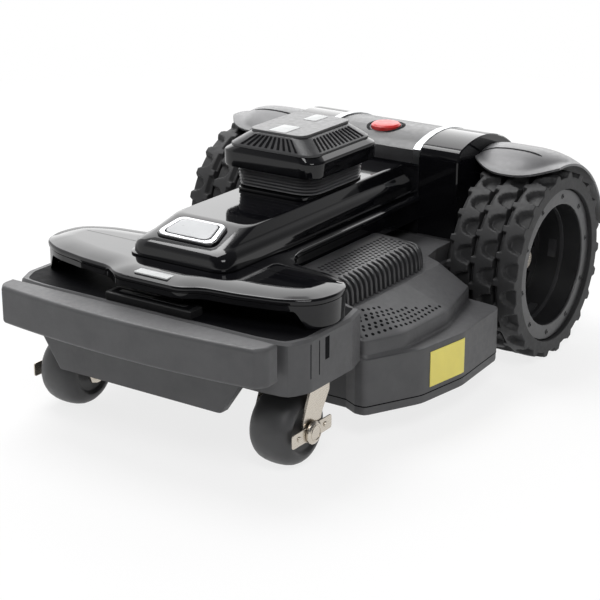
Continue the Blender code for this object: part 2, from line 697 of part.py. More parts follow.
def spine():
    """Raised back of the body, with a sloping nose that carries the badge."""
    base = COVER_TOP + GAP
    front = SPINE_FRONT
    half = SPINE_HALF_WIDTH
    levels = [
        (base, spine_outline(half, front, 0.024)), (base + 0.007, spine_outline(half, front + 0.001, 0.024)),
        (base + 0.013, spine_outline(half - 0.005, front + 0.006, 0.022)),
        (base + 0.021, spine_outline(half - 0.012, front + 0.018, 0.020)),
        (SPINE_TOP - 0.002, spine_outline(half - 0.018, front + 0.064, 0.018)),
        (SPINE_TOP, spine_outline(half - 0.022, front + 0.076, 0.018)),
    ]
    make("spine_cover", shell(levels, 0.0025), "gloss_black", cut=column_hole(COVER_TOP - 0.01, SPINE_TOP + 0.02))

    low = Vector((front + 0.018, base + 0.021))
    high = Vector((front + 0.064, SPINE_TOP - 0.002))
    slope = (high - low).normalized()
    lift = Vector((-slope.y, slope.x))
    if lift.y < 0:
        lift = -lift
    start = low.lerp(high, 0.5) - slope * BADGE_LENGTH / 2
    end = start + slope * BADGE_LENGTH
    thickness = 0.0025
    plan_front = rounded(mirrored([(BADGE_HALF_WIDTH, -1.0), (BADGE_HALF_WIDTH - 0.009, 1.0)]), [0.008] * 4, 3)
    loops = []
    for height, grow in ((GAP, 1.0), (thickness - 0.0008, 1.0), (thickness, 0.97)):
        loop = []
        for p in plan_front:
            centre = start.lerp(end, 0.5 + 0.5 * p.y * grow) + lift * height
            loop.append(Vector((p.x * grow, centre.x, centre.y)))
        loops.append(loop)
    make("badge_plate", loft(loops), "chrome")


def cutting_unit():
    collar_base = SPINE_TOP + GAP
    collar_top = collar_base + COLLAR_HEIGHT
    fold = BELLOWS_FOLD
    sleeve_x = COLUMN_HALF_WIDTH + SLEEVE_WALL + RUNNING_GAP
    sleeve_y = COLUMN_HALF_LENGTH + SLEEVE_WALL + RUNNING_GAP
    inner = rectangle(sleeve_x + 0.001, sleeve_y + 0.001, UNIT_Y, 0.008)
    outer = rectangle(SPINE_HALF_WIDTH - 0.023, BELLOWS_HALF_LENGTH + 0.004, UNIT_Y, 0.012)
    make("bellows_collar", band(outer, inner, collar_base, collar_top), "gloss_black")

    bottom = collar_top + GAP
    top = UNIT_BOTTOM - GAP
    rows = 2 * BELLOWS_RIBS
    outside = []
    inside = []
    for row in range(rows + 1):
        z = bottom + (top - bottom) * row / rows
        push = 0 if row % 2 else -fold
        grow = 0.35 * row / rows * fold
        plan = rectangle(BELLOWS_HALF_WIDTH + push + grow, BELLOWS_HALF_LENGTH + push + grow, UNIT_Y, 0.012)
        outside.append(loop_at(plan, z))
        inside.append(loop_at(plan.inset(0.0022), z))
    make("bellows", loft(outside + list(reversed(inside)), ring=True), "tyre_rubber")

    sleeve_inner = rectangle(COLUMN_HALF_WIDTH + RUNNING_GAP, COLUMN_HALF_LENGTH + RUNNING_GAP, UNIT_Y, 0.006)
    sleeve_outer = rectangle(sleeve_x, sleeve_y, UNIT_Y, 0.008)
    make("lift_sleeve", band(sleeve_outer, sleeve_inner, DECK_TOP - 0.008, SPINE_TOP - 0.004), "dark_plastic")
    column = rectangle(COLUMN_HALF_WIDTH, COLUMN_HALF_LENGTH, UNIT_Y, 0.006)
    place = (0, UNIT_Y, 0)
    make("lift_column", extruded(column.outline(), "Z", MOTOR_TOP + GAP, UNIT_SHOULDER - WALL - GAP), "dark_plastic", origin=place)

    body = rectangle(UNIT_HALF_WIDTH, UNIT_HALF_LENGTH, UNIT_Y, 0.014, 3)
    foot = body.inset(0.003)
    levels = [
        (UNIT_BOTTOM, foot), (UNIT_BOTTOM + 0.004, body), (UNIT_SHOULDER - 0.002, body), (UNIT_SHOULDER, body.inset(0.002)),
    ]
    make("power_unit_base", shell(levels), "dark_plastic", origin=place)
    cap_foot = rectangle(UNIT_HALF_WIDTH - 0.008, UNIT_HALF_LENGTH - 0.005, UNIT_Y, 0.010)
    cap_head = rectangle(UNIT_HALF_WIDTH - 0.029, UNIT_HALF_LENGTH - 0.018, UNIT_Y, 0.006)
    levels = [
        (UNIT_SHOULDER + GAP, cap_foot), (UNIT_SHOULDER + 0.003, cap_foot), (UNIT_CAP_TOP, cap_head),
    ]
    make("power_unit_cap", solid(levels), "gloss_black", origin=place)
    plate = rectangle(UNIT_HALF_WIDTH - 0.031, UNIT_HALF_LENGTH - 0.020, UNIT_Y, 0.006)
    plate_base = UNIT_CAP_TOP + GAP
    make("power_unit_top_plate", extruded(plate.outline(), "Z", plate_base, plate_base + UNIT_PLATE_THICKNESS), "dark_plastic",
         origin=place)

    motor = [
        (MOTOR_BOTTOM, 0), (MOTOR_BOTTOM, MOTOR_RADIUS - 0.008), (MOTOR_BOTTOM + 0.006, MOTOR_RADIUS),
        (MOTOR_TOP - 0.003, MOTOR_RADIUS), (MOTOR_TOP, MOTOR_RADIUS - 0.003), (MOTOR_TOP, 0),
    ]
    make("blade_motor", turned(motor, "Z", place, 24), "dark_plastic", origin=place)
    star = []
    for number in range(BLADE_ARMS):
        middle = 2 * math.pi * number / BLADE_ARMS + math.radians(20)
        for radius, turn in ((0.050, -30), (BLADE_RADIUS, -5.5), (BLADE_RADIUS, 5.5), (0.050, 30)):
            angle = middle + math.radians(turn)
            star.append((radius * math.cos(angle), UNIT_Y + radius * math.sin(angle)))
    shaft_top = MOTOR_BOTTOM - GAP
    boss = [
        (BLADE_Z + 0.001, 0), (BLADE_Z + 0.001, 0.022), (BLADE_Z + 0.009, 0.020), (BLADE_Z + 0.009, 0.008),
        (shaft_top, 0.008), (shaft_top, 0),
    ]
    make("blade", extruded(star, "Z", BLADE_Z, BLADE_Z + BLADE_THICKNESS), "blade_steel",
         add=turned(boss, "Z", place, 24), origin=place)


def hood_arc(radius, front, steps=14):
    """Front wall and top of the hood, from the front foot over the axle to the rear wall."""
    start = math.asin((front + 0.010) / radius)
    end = math.radians(HOOD_REAR_ANGLE)
    line = [(front, AXLE_Z + radius * math.cos(start) - 0.018), (front + 0.0025, AXLE_Z + radius * math.cos(start) - 0.006)]
    for step in range(steps + 1):
        angle = start + (end - start) * step / steps
        line.append((radius * math.sin(angle), AXLE_Z + radius * math.cos(angle)))
    return line


def hood_outline(radius, front, bottom):
    """Closed side view of the hood, solid down to its foot."""
    line = hood_arc(radius, front)
    return [(front, bottom)] + line + [(line[-1][0], bottom)]


def hood_section(radius, front, wall):
    """Side view of a thin arch: outer line, then the inner line back."""
    outer = hood_outline(radius, front, HOOD_BOTTOM)
    inner = hood_outline(radius - wall, front + wall, HOOD_BOTTOM)
    return outer + list(reversed(inner))


def rear_body():
    strip_end = STRIP_INNER_X + STRIP_WIDTH
    hole = [(0.20, 0), (0.20, BUTTON_RADIUS + 0.0007), (0.30, BUTTON_RADIUS + 0.0007), (0.30, 0)]
    make("hood_centre", extruded(hood_section(HOOD_RADIUS - 0.001, HOOD_FRONT, HOOD_WALL), "X",
         -STRIP_INNER_X + GAP, STRIP_INNER_X - GAP), "body_grey", cut=turned(hole, "Z", (0, BUTTON_Y, 0), 28))
    for name, side in SIDES:
        edges = sorted((side * STRIP_INNER_X, side * strip_end))
        section = hood_section(HOOD_RADIUS + STRIP_PROUD, HOOD_FRONT - STRIP_PROUD / 2, HOOD_WALL)
        make("hood_strip_" + name, extruded(section, "X", *edges), "silver_trim")
        edges = sorted((side * (strip_end + GAP), side * HOOD_HALF_WIDTH))
        outer = extruded(hood_outline(HOOD_RADIUS, HOOD_FRONT, HOOD_BOTTOM), "X", *edges)
        edges = sorted((side * (strip_end - 0.01), side * (HOOD_HALF_WIDTH - HOOD_WALL)))
        room = hood_outline(HOOD_RADIUS - HOOD_WALL, HOOD_FRONT + HOOD_WALL, HOOD_BOTTOM - 0.02)
        make("rear_hood_" + name, outer, "gloss_black", cut=extruded(room, "X", *edges))
        fender(name, side)

    rear = (HOOD_RADIUS * math.sin(math.radians(HOOD_REAR_ANGLE)))
    centre = (rear + HOOD_FRONT) / 2
    plan = rectangle(HOOD_HALF_WIDTH, (rear - HOOD_FRONT) / 2 - 0.0008, centre, 0.010)
    foot = plan.inset(0.006)
    rim = HOOD_BOTTOM - GAP
    levels = [(rim, plan), (TUB_BOTTOM + 0.006, plan), (TUB_BOTTOM, foot)]
    reach = HOOD_HALF_WIDTH + 0.02
    bore = [(-reach, 0), (-reach, 0.013), (reach, 0.013), (reach, 0)]
    make("chassis_tub", shell(levels), "body_grey", cut=turned(bore, "X", (0, 0, AXLE_Z), 24))

    floor = TUB_BOTTOM + WALL + GAP
    pack_front = 0.048
    pack_rear = rear - 0.012
    pack = rectangle(0.100, (pack_rear - pack_front) / 2, (pack_rear + pack_front) / 2, 0.006)
    pack_top = 0.140
    make("battery_pack", solid([(floor, pack.inset(0.004)), (floor + 0.004, pack), (pack_top, pack)]), "dark_plastic")
    board = pack.inset(0.006)
    make("control_board", extruded(board.outline(), "Z", pack_top + GAP, pack_top + 0.002), "circuit_green")

    crown = AXLE_Z + math.sqrt((HOOD_RADIUS - 0.001) ** 2 - BUTTON_Y ** 2)
    top = crown + BUTTON_PROUD
    stem_end = crown - 0.040
    button = [
        (stem_end, 0), (stem_end, 0.007), (top - 0.014, 0.007), (top - 0.014, BUTTON_RADIUS),
        (top - 0.003, BUTTON_RADIUS), (top - 0.0008, BUTTON_RADIUS - 0.0025), (top, BUTTON_RADIUS - 0.007), (top, 0),
    ]
    place = (0, BUTTON_Y, 0)
    make("stop_button", turned(button, "Z", place, 28), "stop_red", origin=(0, BUTTON_Y, top))
    post = rectangle(0.013, 0.013, BUTTON_Y, 0.003)
    make("stop_switch", extruded(post.outline(), "Z", floor, stem_end - BUTTON_TRAVEL - 0.0006), "dark_plastic")


def fender(name, side):
    """Curved guard over a driven wheel, swept about the axle."""
    inner_x = HOOD_HALF_WIDTH + RUNNING_GAP
    outer_x = WHEEL_OUTER_X + 0.0005
    span = outer_x - inner_x
    drop = FENDER_RADIUS - FENDER_EDGE_RADIUS
    crest = [(0.0, 0.12), (0.30, 0.0), (0.62, 0.04), (0.82, 0.28), (0.94, 0.66), (1.0, 1.0)]
    outer = [(inner_x + share * span, FENDER_RADIUS - fall * drop) for share, fall in crest]
    inner = [(x - 0.002 * (radius < FENDER_RADIUS - 0.4 * drop), radius - FENDER_WALL) for x, radius in outer]
    section = outer + list(reversed(inner))
    steps = 18
    loops = []
    for step in range(steps + 1):
        angle = math.radians(FENDER_FRONT_ANGLE + (FENDER_REAR_ANGLE - FENDER_FRONT_ANGLE) * step / steps)
        loop = [Vector((side * x, r * math.sin(angle), AXLE_Z + r * math.cos(angle))) for x, r in section]
        loops.append(loop)
    make("fender_" + name, loft(loops), "fender_grey")


def build():
    clear_scene()
    cutting_deck()
    front_end()
    bumper()
    body_cover()
    spine()
    cutting_unit()
    rear_body()
    for name, side in SIDES:
        vents(name, side)
        gearmotor(name, side)
        drive_wheel(name, side)
        caster(name, side)


build()
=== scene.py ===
"""Studio scene of the robotic lawn mower: finer surfaces, materials, light and camera around the frame."""
import json
import math

import bmesh
import bpy
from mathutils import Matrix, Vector


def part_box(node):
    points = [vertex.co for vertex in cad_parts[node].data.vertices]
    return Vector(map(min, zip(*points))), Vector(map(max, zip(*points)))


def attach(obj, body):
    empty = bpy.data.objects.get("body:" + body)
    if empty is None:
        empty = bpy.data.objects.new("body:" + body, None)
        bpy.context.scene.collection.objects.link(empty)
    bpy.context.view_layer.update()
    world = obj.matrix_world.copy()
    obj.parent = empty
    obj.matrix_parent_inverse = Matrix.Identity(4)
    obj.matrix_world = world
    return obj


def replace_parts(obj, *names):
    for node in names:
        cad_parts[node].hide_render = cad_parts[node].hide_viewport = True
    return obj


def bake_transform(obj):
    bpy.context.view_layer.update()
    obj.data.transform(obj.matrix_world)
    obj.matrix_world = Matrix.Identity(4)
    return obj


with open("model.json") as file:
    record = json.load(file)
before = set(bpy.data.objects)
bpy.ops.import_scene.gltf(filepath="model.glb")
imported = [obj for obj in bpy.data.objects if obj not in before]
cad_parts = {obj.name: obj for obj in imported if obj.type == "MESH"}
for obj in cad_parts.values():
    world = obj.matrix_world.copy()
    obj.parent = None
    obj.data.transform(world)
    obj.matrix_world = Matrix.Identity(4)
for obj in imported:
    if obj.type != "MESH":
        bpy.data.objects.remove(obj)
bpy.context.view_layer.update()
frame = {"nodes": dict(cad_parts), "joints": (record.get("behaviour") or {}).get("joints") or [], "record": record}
NODES = frame["nodes"]
JOINTS = {joint["name"]: joint for joint in frame["joints"]}
_, AXLE_Y, AXLE_Z = Vector(JOINTS["wheel_right_spin"]["pos_m"])
SIDES = (("left", -1), ("right", 1))
X_AXIS = Vector((1, 0, 0))
Y_AXIS = Vector((0, 1, 0))
DOWN = Vector((0, 0, -1))
ABOVE = 0.6

# Camera, fitted to the photograph
CAMERA_AZIMUTH = math.radians(34.43)
CAMERA_ELEVATION = math.radians(19.65)
CAMERA_DISTANCE = 2.2218
CAMERA_TARGET = Vector((0, AXLE_Y - 0.2175, 0.08766))
FOCAL_PIXELS = 1734.9
IMAGE_PIXELS = 600
SENSOR_MM = 36.0

# Studio: the room's tones, the floor, and lamps with a place, a width, a height and a power
ROOM_LEAN = (0.80, -0.50, 0.80)
ROOM_WHITE = (1.0, 1.0, 1.0, 1.0)
ROOM_DARK = (0.12, 0.12, 0.125, 1.0)
COVE_EDGE = 0.05
ROOM_EDGE = 0.40
ROOM_LIGHT = 0.70
FLOOR_SIZE = 14.0
FLOOR_DROP = 0.0004
FLOOR_GLOW = 0.80
FLOOR_NEAR = 0.8
FLOOR_FAR = 1.8
FLOOR_TONES = ((0.93, 0.93, 0.93, 1.0), (0.95, 0.95, 0.95, 1.0))
LAMP_TARGET = Vector((0, 0, 0.12))
LAMPS = (
    ("key", (1.5, -1.5, 2.4), 1.2, 1.2, 33.0),
    ("top", (-0.95, 0.28, 2.45), 1.5, 1.3, 46.0),
    ("rear", (-1.5, 2.3, 1.6), 4.2, 2.4, 58.0),
)

# Vents beside the waist
VENT_FINS = 21
VENT_INNER = 0.086
VENT_OUTER = 0.161
VENT_HEIGHT = 0.030
VENT_REAR = AXLE_Y - 0.152
VENT_CLOSING = 0.022
VENT_CLOSING_LENGTH = 0.045
VENT_FALL = 0.016
VENT_FALL_LENGTH = 0.030

# Fenders: distances from the axle, and angles in degrees from the top towards the rear
FENDER_CREST = 0.147
FENDER_EDGE = 0.133
FENDER_WALL = 0.003
FENDER_FRONT = -21.0
FENDER_REAR = 80.0
FENDER_DROOP = 0.017
FENDER_DROOP_ANGLE = 32.0
# Painted shade line along the fender's crease: its angle and width in degrees, and its reach as a share of the
# fender's width
CREASE_ANGLE = -0.3
CREASE_WIDTH = 1.5
CREASE_REACH = 0.74

# Wheels
DISH_OPENING = 0.0797
DISH_PADS = 5
RIM_SCREWS = 10
TREAD_BANDS = 3
TREAD_LUGS = 22
TREAD_DEPTH = 0.0075
TREAD_GROOVE = 0.0035
CASTER_BORE = 0.0063

# Walls of the covers, and what the power unit's cap stands out beside its top plate
DECK_WALL = 0.003
HOOD_WALL = 0.004
CAP_MARGIN = Vector((0.002, 0.002, 0))

EDGE_WIDTH = 0.0007
FINISH_OVER_SLOT = dict.fromkeys(("hood_centre", "rim_ring_left", "rim_ring_right"), "dark_satin")
MATERIALS = {}


def plug(socket, value):
    """Socket set to a value, or linked to another socket."""
    if isinstance(value, bpy.types.NodeSocket):
        socket.id_data.links.new(value, socket)
    else:
        socket.default_value = value


def feed(node, **inputs):
    """Values or links for some of a node's sockets, by name."""
    for name, value in inputs.items():
        plug(node.inputs[name.replace("_", " ")], value)


def add_node(tree, kind, result, **inputs):
    """One result of a new shader node."""
    node = tree.nodes.new("ShaderNode" + kind)
    feed(node, **inputs)
    return node.outputs[result]


def map_range(tree, value, **limits):
    """Number mapped from one range onto another."""
    return add_node(tree, "MapRange", "Result", Value=value, **limits)


def mix(tree, share, first, second):
    """Colour between two colours."""
    node = tree.nodes.new("ShaderNodeMix")
    node.data_type = "RGBA"
    feed(node, Factor=share, A=first, B=second)
    return node.outputs["Result"]


def calculate(tree, kind, operation, *values):
    """Number that a calculation gives."""
    node = tree.nodes.new("ShaderNode" + kind)
    node.operation = operation
    for socket, value in zip(node.inputs, values):
        plug(socket, value)
    return node.outputs["Value"]


def start_material(name, **inputs):
    """Tree, shader and object coordinates of a new material, kept under its name."""
    material = bpy.data.materials.new(name)
    MATERIALS[name] = material
    material.use_nodes = True
    tree = material.node_tree
    shader = tree.nodes["Principled BSDF"]
    feed(shader, **inputs)
    return tree, shader, add_node(tree, "TexCoord", "Object")


def noise(tree, place, scale, detail=4.0, stretch=None):
    """Noise value over the object, stretched where a direction is drawn out."""
    if stretch:
        place = add_node(tree, "Mapping", "Vector", Vector=place, Scale=stretch)
    return add_node(tree, "TexNoise", "Fac", Vector=place, Scale=scale, Detail=detail)


def spread(tree, value, low, high):
    """Noise value spread over a range of numbers."""
    return map_range(tree, value, From_Min=0.3, From_Max=0.7, To_Min=low, To_Max=high)


def two_tone(tree, value, dark, light):
    """Colour that wanders between two tones."""
    return mix(tree, spread(tree, value, 0.0, 1.0), dark, light)


def bump(tree, shader, value, strength, depth):
    """Fine relief on a shader."""
    feed(shader, Normal=add_node(tree, "Bump", "Normal", Height=value, Strength=strength, Distance=depth))


def shade(colour, factor):
    """Lighter or darker colour, with full cover."""
    return (*[min(1.0, channel * factor) for channel in colour], 1.0)


def moulded(name, colour, roughness, grain=900.0, depth=0.00012, strength=0.35, contrast=0.10, specular=0.5):
    """Moulded plastic or rubber: fine grain, faint mottling and uneven sheen."""
    tree, shader, place = start_material(name, Specular_IOR_Level=specular)
    mottling = noise(tree, place, 35.0, 5.0)
    tone = two_tone(tree, mottling, shade(colour, 1 - contrast), shade(colour, 1 + contrast))
    sheen = spread(tree, noise(tree, place, 160.0, 3.0), roughness - 0.05, roughness + 0.05)
    feed(shader, Base_Color=tone, Roughness=sheen)
    bump(tree, shader, noise(tree, place, grain, 2.0), strength, depth)


def lacquer(name, colour):
    """Piano gloss with a faint haze and hardly any waviness."""
    tree, shader, place = start_material(name, IOR=1.42)
    haze = noise(tree, place, 14.0, 6.0)
    tone = two_tone(tree, haze, shade(colour, 0.8), shade(colour, 1.25))
    feed(shader, Base_Color=tone, Roughness=spread(tree, haze, 0.03, 0.08))
    bump(tree, shader, noise(tree, place, 22.0, 1.0), 0.02, 0.0006)


def metal(name, colour, roughness, stretch=(90.0, 90.0, 2400.0), depth=0.00002):
    """Drawn or ground metal with fine lines along one direction."""
    tree, shader, place = start_material(name, Metallic=1.0)
    lines = noise(tree, place, 1.0, 6.0, stretch)
    tone = two_tone(tree, lines, shade(colour, 0.95), shade(colour, 1.04))
    feed(shader, Base_Color=tone, Roughness=spread(tree, lines, roughness - 0.03, roughness + 0.05))
    bump(tree, shader, lines, 0.08, depth)


lacquer("gloss_black", (0.004, 0.004, 0.005))
moulded("body_grey", (0.075, 0.075, 0.078), 0.50)
moulded("fender_grey", (0.158, 0.158, 0.162), 0.40)
moulded("dark_plastic", (0.016, 0.016, 0.017), 0.38)
moulded("tyre_rubber", (0.022, 0.022, 0.023), 0.62, 500.0, 0.0003, 0.5, 0.2)
moulded("dark_satin", (0.040, 0.040, 0.042), 0.34)
metal("stainless", (0.60, 0.55, 0.48), 0.26)
metal("silver_trim", (0.43, 0.44, 0.45), 0.30, (2400.0, 90.0, 90.0))
moulded("satin_silver", (0.44, 0.45, 0.46), 0.32, 1500.0, 0.00002, 0.2, 0.03)
metal("chrome", (0.84, 0.85, 0.87), 0.10, (40.0, 40.0, 40.0), 0.00001)
moulded("stop_red", (0.62, 0.030, 0.028), 0.34, 700.0, 0.00006, 0.3, 0.06)
metal("blade_steel", (0.55, 0.56, 0.58), 0.32, (200.0, 30.0, 30.0))
moulded("circuit_green", (0.02, 0.16, 0.06), 0.45, 300.0)
moulded("plate_white", (0.54, 0.55, 0.55), 0.50, 600.0, 0.00004, 0.3, 0.03)
moulded("plate_yellow", (0.95, 0.82, 0.17), 0.38, 600.0, 0.00004, 0.3, 0.04)
# Near-black with hardly any sheen: painted shade for holes, slots, grooves, seams, troughs, creases and recesses.
moulded("slot_dark", (0.004, 0.004, 0.005), 0.60, specular=0.05)
moulded("bellows_rubber", (0.150, 0.150, 0.155), 0.55)
moulded("caster_rubber", (0.062, 0.062, 0.064), 0.46)


def break_edges(item, width, segments, degrees):
    """Bevel on edges that are sharper than an angle."""
    bevel = item.modifiers.new("edges", "BEVEL")
    bevel.width = width
    bevel.segments = segments
    bevel.limit_method = "ANGLE"
    bevel.angle_limit = math.radians(degrees)


def even_normals(item):
    """Flat faces stay flat next to their rounded edges."""
    normals = item.modifiers.new("normals", "WEIGHTED_NORMAL")
    normals.keep_sharp = True
    return item


def dress_frame():
    """Each CAD node gets its slot's material and lightly broken edges."""
    slots = {entry["node"]: entry["material_slot"] for entry in frame["record"]["subparts"]}
    for name, item in NODES.items():
        item.data.materials.clear()
        item.data.materials.append(MATERIALS[FINISH_OVER_SLOT.get(name, slots[name])])
        item.data.shade_smooth()
        weld = item.modifiers.new("weld", "WELD")
        weld.merge_threshold = 0.00002
        break_edges(item, EDGE_WIDTH, 2, 28)
        even_normals(item)


def piece(name, vertices, faces, look, body, smooth=40):
    """New mesh piece that moves with a body."""
    mesh = bpy.data.meshes.new(name)
    mesh.from_pydata([tuple(v) for v in vertices], [], faces)
    mesh.validate()
    builder = bmesh.new()
    builder.from_mesh(mesh)
    bmesh.ops.recalc_face_normals(builder, faces=builder.faces)
    builder.to_mesh(mesh)
    builder.free()
    mesh.materials.append(MATERIALS[look])
    mesh.shade_smooth()
    mesh.set_sharp_from_angle(angle=math.radians(smooth))
    item = bpy.data.objects.new(name, mesh)
    bpy.context.scene.collection.objects.link(item)
    if body:
        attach(item, body)
    return item


def loft(loops, ring=False):
    """Skin over equal loops, closed by end caps or back onto the first loop."""
    count = len(loops[0])
    vertices = [point for loop in loops for point in loop]
    total = len(vertices)
    faces = []
    for here in range(0, total if ring else total - count, count):
        there = (here + count) % total
        for k in range(count):
            n = (k + 1) % count
            faces.append((here + k, here + n, there + n, there + k))
    if not ring:
        faces.append(tuple(range(count))[::-1])
        faces.append(tuple(range(total - count, total)))
    return vertices, faces


def around(count, start=0.0):
    """Angles of equal steps round a circle."""
    return [2 * math.pi * (number + start) / count for number in range(count)]


def turned(centre, section, steps):
    """Ring about a cross axis, from places along it and distances from it."""
    loops = []
    for angle in around(steps):
        spoke = wheel_spoke(angle)
        loops.append([centre + X_AXIS * x + spoke * reach for x, reach in section])
    return loft(loops, ring=True)


def wheel_spoke(angle):
    """Direction square to the axle, at an angle from the top towards the rear."""
    return Vector((0, math.sin(angle), math.cos(angle)))


def axle_point(x, angle, reach):
    """Place about the drive axle."""
    return Vector((x, AXLE_Y, AXLE_Z)) + wheel_spoke(angle) * reach


def merge(bodies):
    """Several closed bodies as the vertices and faces of one mesh."""
    vertices, faces = [], []
    for some_vertices, some_faces in bodies:
        base = len(vertices)
        vertices += some_vertices
        faces += [tuple(base + index for index in face) for face in some_faces]
    return vertices, faces


def between(limits, share):
    """Number at a share of the way between two limits."""
    return limits[0] + (limits[1] - limits[0]) * share


def half_size(node):
    """Half of a node's box, in each direction."""
    low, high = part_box(node)
    return (high - low) / 2


def centre_of(node):
    """Middle of a node's box."""
    low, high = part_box(node)
    return (low + high) / 2


def faces_of(node, side):
    """Inner and outer face of a node, as places along the axle."""
    low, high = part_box(node)
    return (low.x, high.x) if side > 0 else (high.x, low.x)


def rounded(points, radii, steps):
    """Polygon with each corner turned into a curve."""
    outline = []
    for index, point in enumerate(points):
        corner = Vector(point)
        back = Vector(points[index - 1]) - corner
        ahead = Vector(points[(index + 1) % len(points)]) - corner
        reach = radii[index] / math.tan(back.angle(ahead) / 2)
        reach = min(reach, 0.45 * back.length, 0.45 * ahead.length)
        start = corner + back.normalized() * reach
        end = corner + ahead.normalized() * reach
        outline += [bend(start, corner, end, step / steps) for step in range(steps + 1)]
    return outline


def bend(start, corner, end, share):
    """Point on a curve that sets out towards a corner and turns to an end."""
    return start.lerp(corner, share).lerp(corner.lerp(end, share), share)


def rectangle(centre, z, half_x, half_y, radius, steps=5):
    """Rounded rectangle about a centre, at a height."""
    corners = [(half_x, -half_y), (half_x, half_y), (-half_x, half_y), (-half_x, -half_y)]
    return [Vector((centre.x + p.x, centre.y + p.y, z)) for p in rounded(corners, [radius] * 4, steps)]


class Plan:
    """Closed polygon, counter-clockwise, with a radius for each corner."""

    def __init__(self, points, radii, steps=7):
        self.points = [Vector(point) for point in points]
        self.radii = radii
        self.steps = steps

    def inset(self, distance):
        """The same plan with every edge moved inward."""
        points, radii = [], []
        for index, corner in enumerate(self.points):
            arriving = (corner - self.points[index - 1]).normalized()
            leaving = (self.points[(index + 1) % len(self.points)] - corner).normalized()
            inward = leaving.orthogonal()
            mitre = (arriving.orthogonal() + inward).normalized()
            points.append(corner + mitre * (distance / mitre.dot(inward)))
            change = -distance if arriving.cross(leaving) > 0 else distance
            radii.append(max(0.0006, self.radii[index] + change))
        return Plan(points, radii, self.steps)

    def loop(self, z):
        """Outline at a height."""
        return [Vector((p.x, p.y, z)) for p in rounded(self.points, self.radii, self.steps)]


def mirrored(half, radii):
    """Both sides of a plan, from its right half listed front to rear."""
    return half + [(-x, y) for x, y in half[::-1]], radii + radii[::-1]


def offset(outline, distance):
    """Closed outline moved inward, square to its own direction at each point."""
    moved = []
    for index, point in enumerate(outline):
        along = (outline[(index + 1) % len(outline)] - outline[index - 1]).normalized()
        moved.append(point + along.orthogonal() * distance)
    return moved


def button_head(place, outward, radius, height, steps=14):
    """Low domed disc on a surface, facing outward."""
    outward = outward.normalized()
    side = outward.orthogonal().normalized()
    other = outward.cross(side)
    spokes = [side * math.cos(angle) + other * math.sin(angle) for angle in around(steps)]
    loops = []
    for lift, grow in ((-0.3, 1.0), (0.55, 1.0), (0.9, 0.86), (1.0, 0.6)):
        middle = place + outward * (height * lift)
        loops.append([middle + spoke * (radius * grow) for spoke in spokes])
    return loft(loops)


def top_outline(node):
    """Corners of the broadest upward face of a node, in order, with its middle and normal."""
    mesh = NODES[node].data
    groups = {}
    for face in mesh.polygons:
        if face.normal.z > 0.5:
            groups.setdefault(tuple(round(value, 2) for value in face.normal), []).append(face)
    best = max(groups, key=lambda key: sum(face.area for face in groups[key]))
    corners = {}
    for face in groups[best]:
        for index in face.vertices:
            place = mesh.vertices[index].co
            corners[tuple(round(value, 5) for value in place)] = place.copy()
    points = list(corners.values())
    centre = sum(points, Vector()) / len(points)
    normal = Vector(best).normalized()
    other = normal.cross(X_AXIS)
    points.sort(key=lambda p: math.atan2((p - centre).dot(other), (p - centre).dot(X_AXIS)))
    return points, centre, normal


def body_cover():
    """Gloss cover: hammerhead plan, rolled top edge over a shadow line, and a slightly crowned top."""
    low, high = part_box("body_cover")
    wide, front, top = high.x, low.y, high.z
    waist, lip, waist_rim = 0.084, top - 0.018, top - 0.034
    crown, crown_width, bead, wall = 0.004, 0.030, 0.0032, 0.0026
    half = [
        (0.046, 0.0), (0.068, 0.015), (0.112, 0.020), (0.166, 0.032), (wide - 0.008, 0.052), (wide, 0.084),
        (wide - 0.008, 0.118), (0.160, 0.136), (waist + 0.020, 0.144), (waist, 0.176),
        (waist, high.y - front),
    ]
    half = [(x, front + y) for x, y in half]
    radii = [0.038, 0.038, 0.15, 0.09, 0.041, 0.066, 0.038, 0.09, 0.032, 0.06, 0.002]
    outline = rounded(*mirrored(half, radii), 12)

    def rim(point):
        """Height of the lower edge: low at the corners, higher in front and at the waist."""
        share = min(1.0, max(0.0, (wide - 0.014 - abs(point.x)) / 0.016))
        height = low.z + (lip - low.z) * share * share * (3 - 2 * share)
        back = min(1.0, max(0.0, (point.y - front - 0.146) / 0.030))
        return height + (waist_rim - lip) * back

    def loop(height, inset, sink=0.0):
        """Outline moved inward, at a height or along the lower edge."""
        points = []
        for start, moved in zip(outline, offset(outline, inset)):
            if start.y > high.y - 0.003:
                moved = start - Vector((math.copysign(inset, start.x), 0))
            z = rim(start) if height is None else height - sink
            points.append(Vector((moved.x, moved.y, z)))
        return points

    edge = top - crown
    levels = [(None, 0.0014), (edge - 0.0078, 0.0014), (edge - 0.0075, 0.0026), (edge - 0.0066, 0.0026),
              (edge - 0.0063, 0.0003), (edge - bead - 0.001, 0.0)]
    for step in range(1, 9):
        angle = math.pi / 2 * step / 8
        levels.append((edge - bead + bead * math.sin(angle), bead * (1 - math.cos(angle))))
    for step in range(1, 7):
        share = step / 6
        levels.append((edge + crown * (1 - (1 - share) ** 2), bead + crown_width * share))
    outer = [loop(height, inset) for height, inset in levels]
    inner = [loop(height, inset + wall, wall) for height, inset in levels]
    item = piece("gloss_cover", *loft(inner[::-1] + outer), "gloss_black", "chassis", 50)
    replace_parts(even_normals(item), "body_cover")


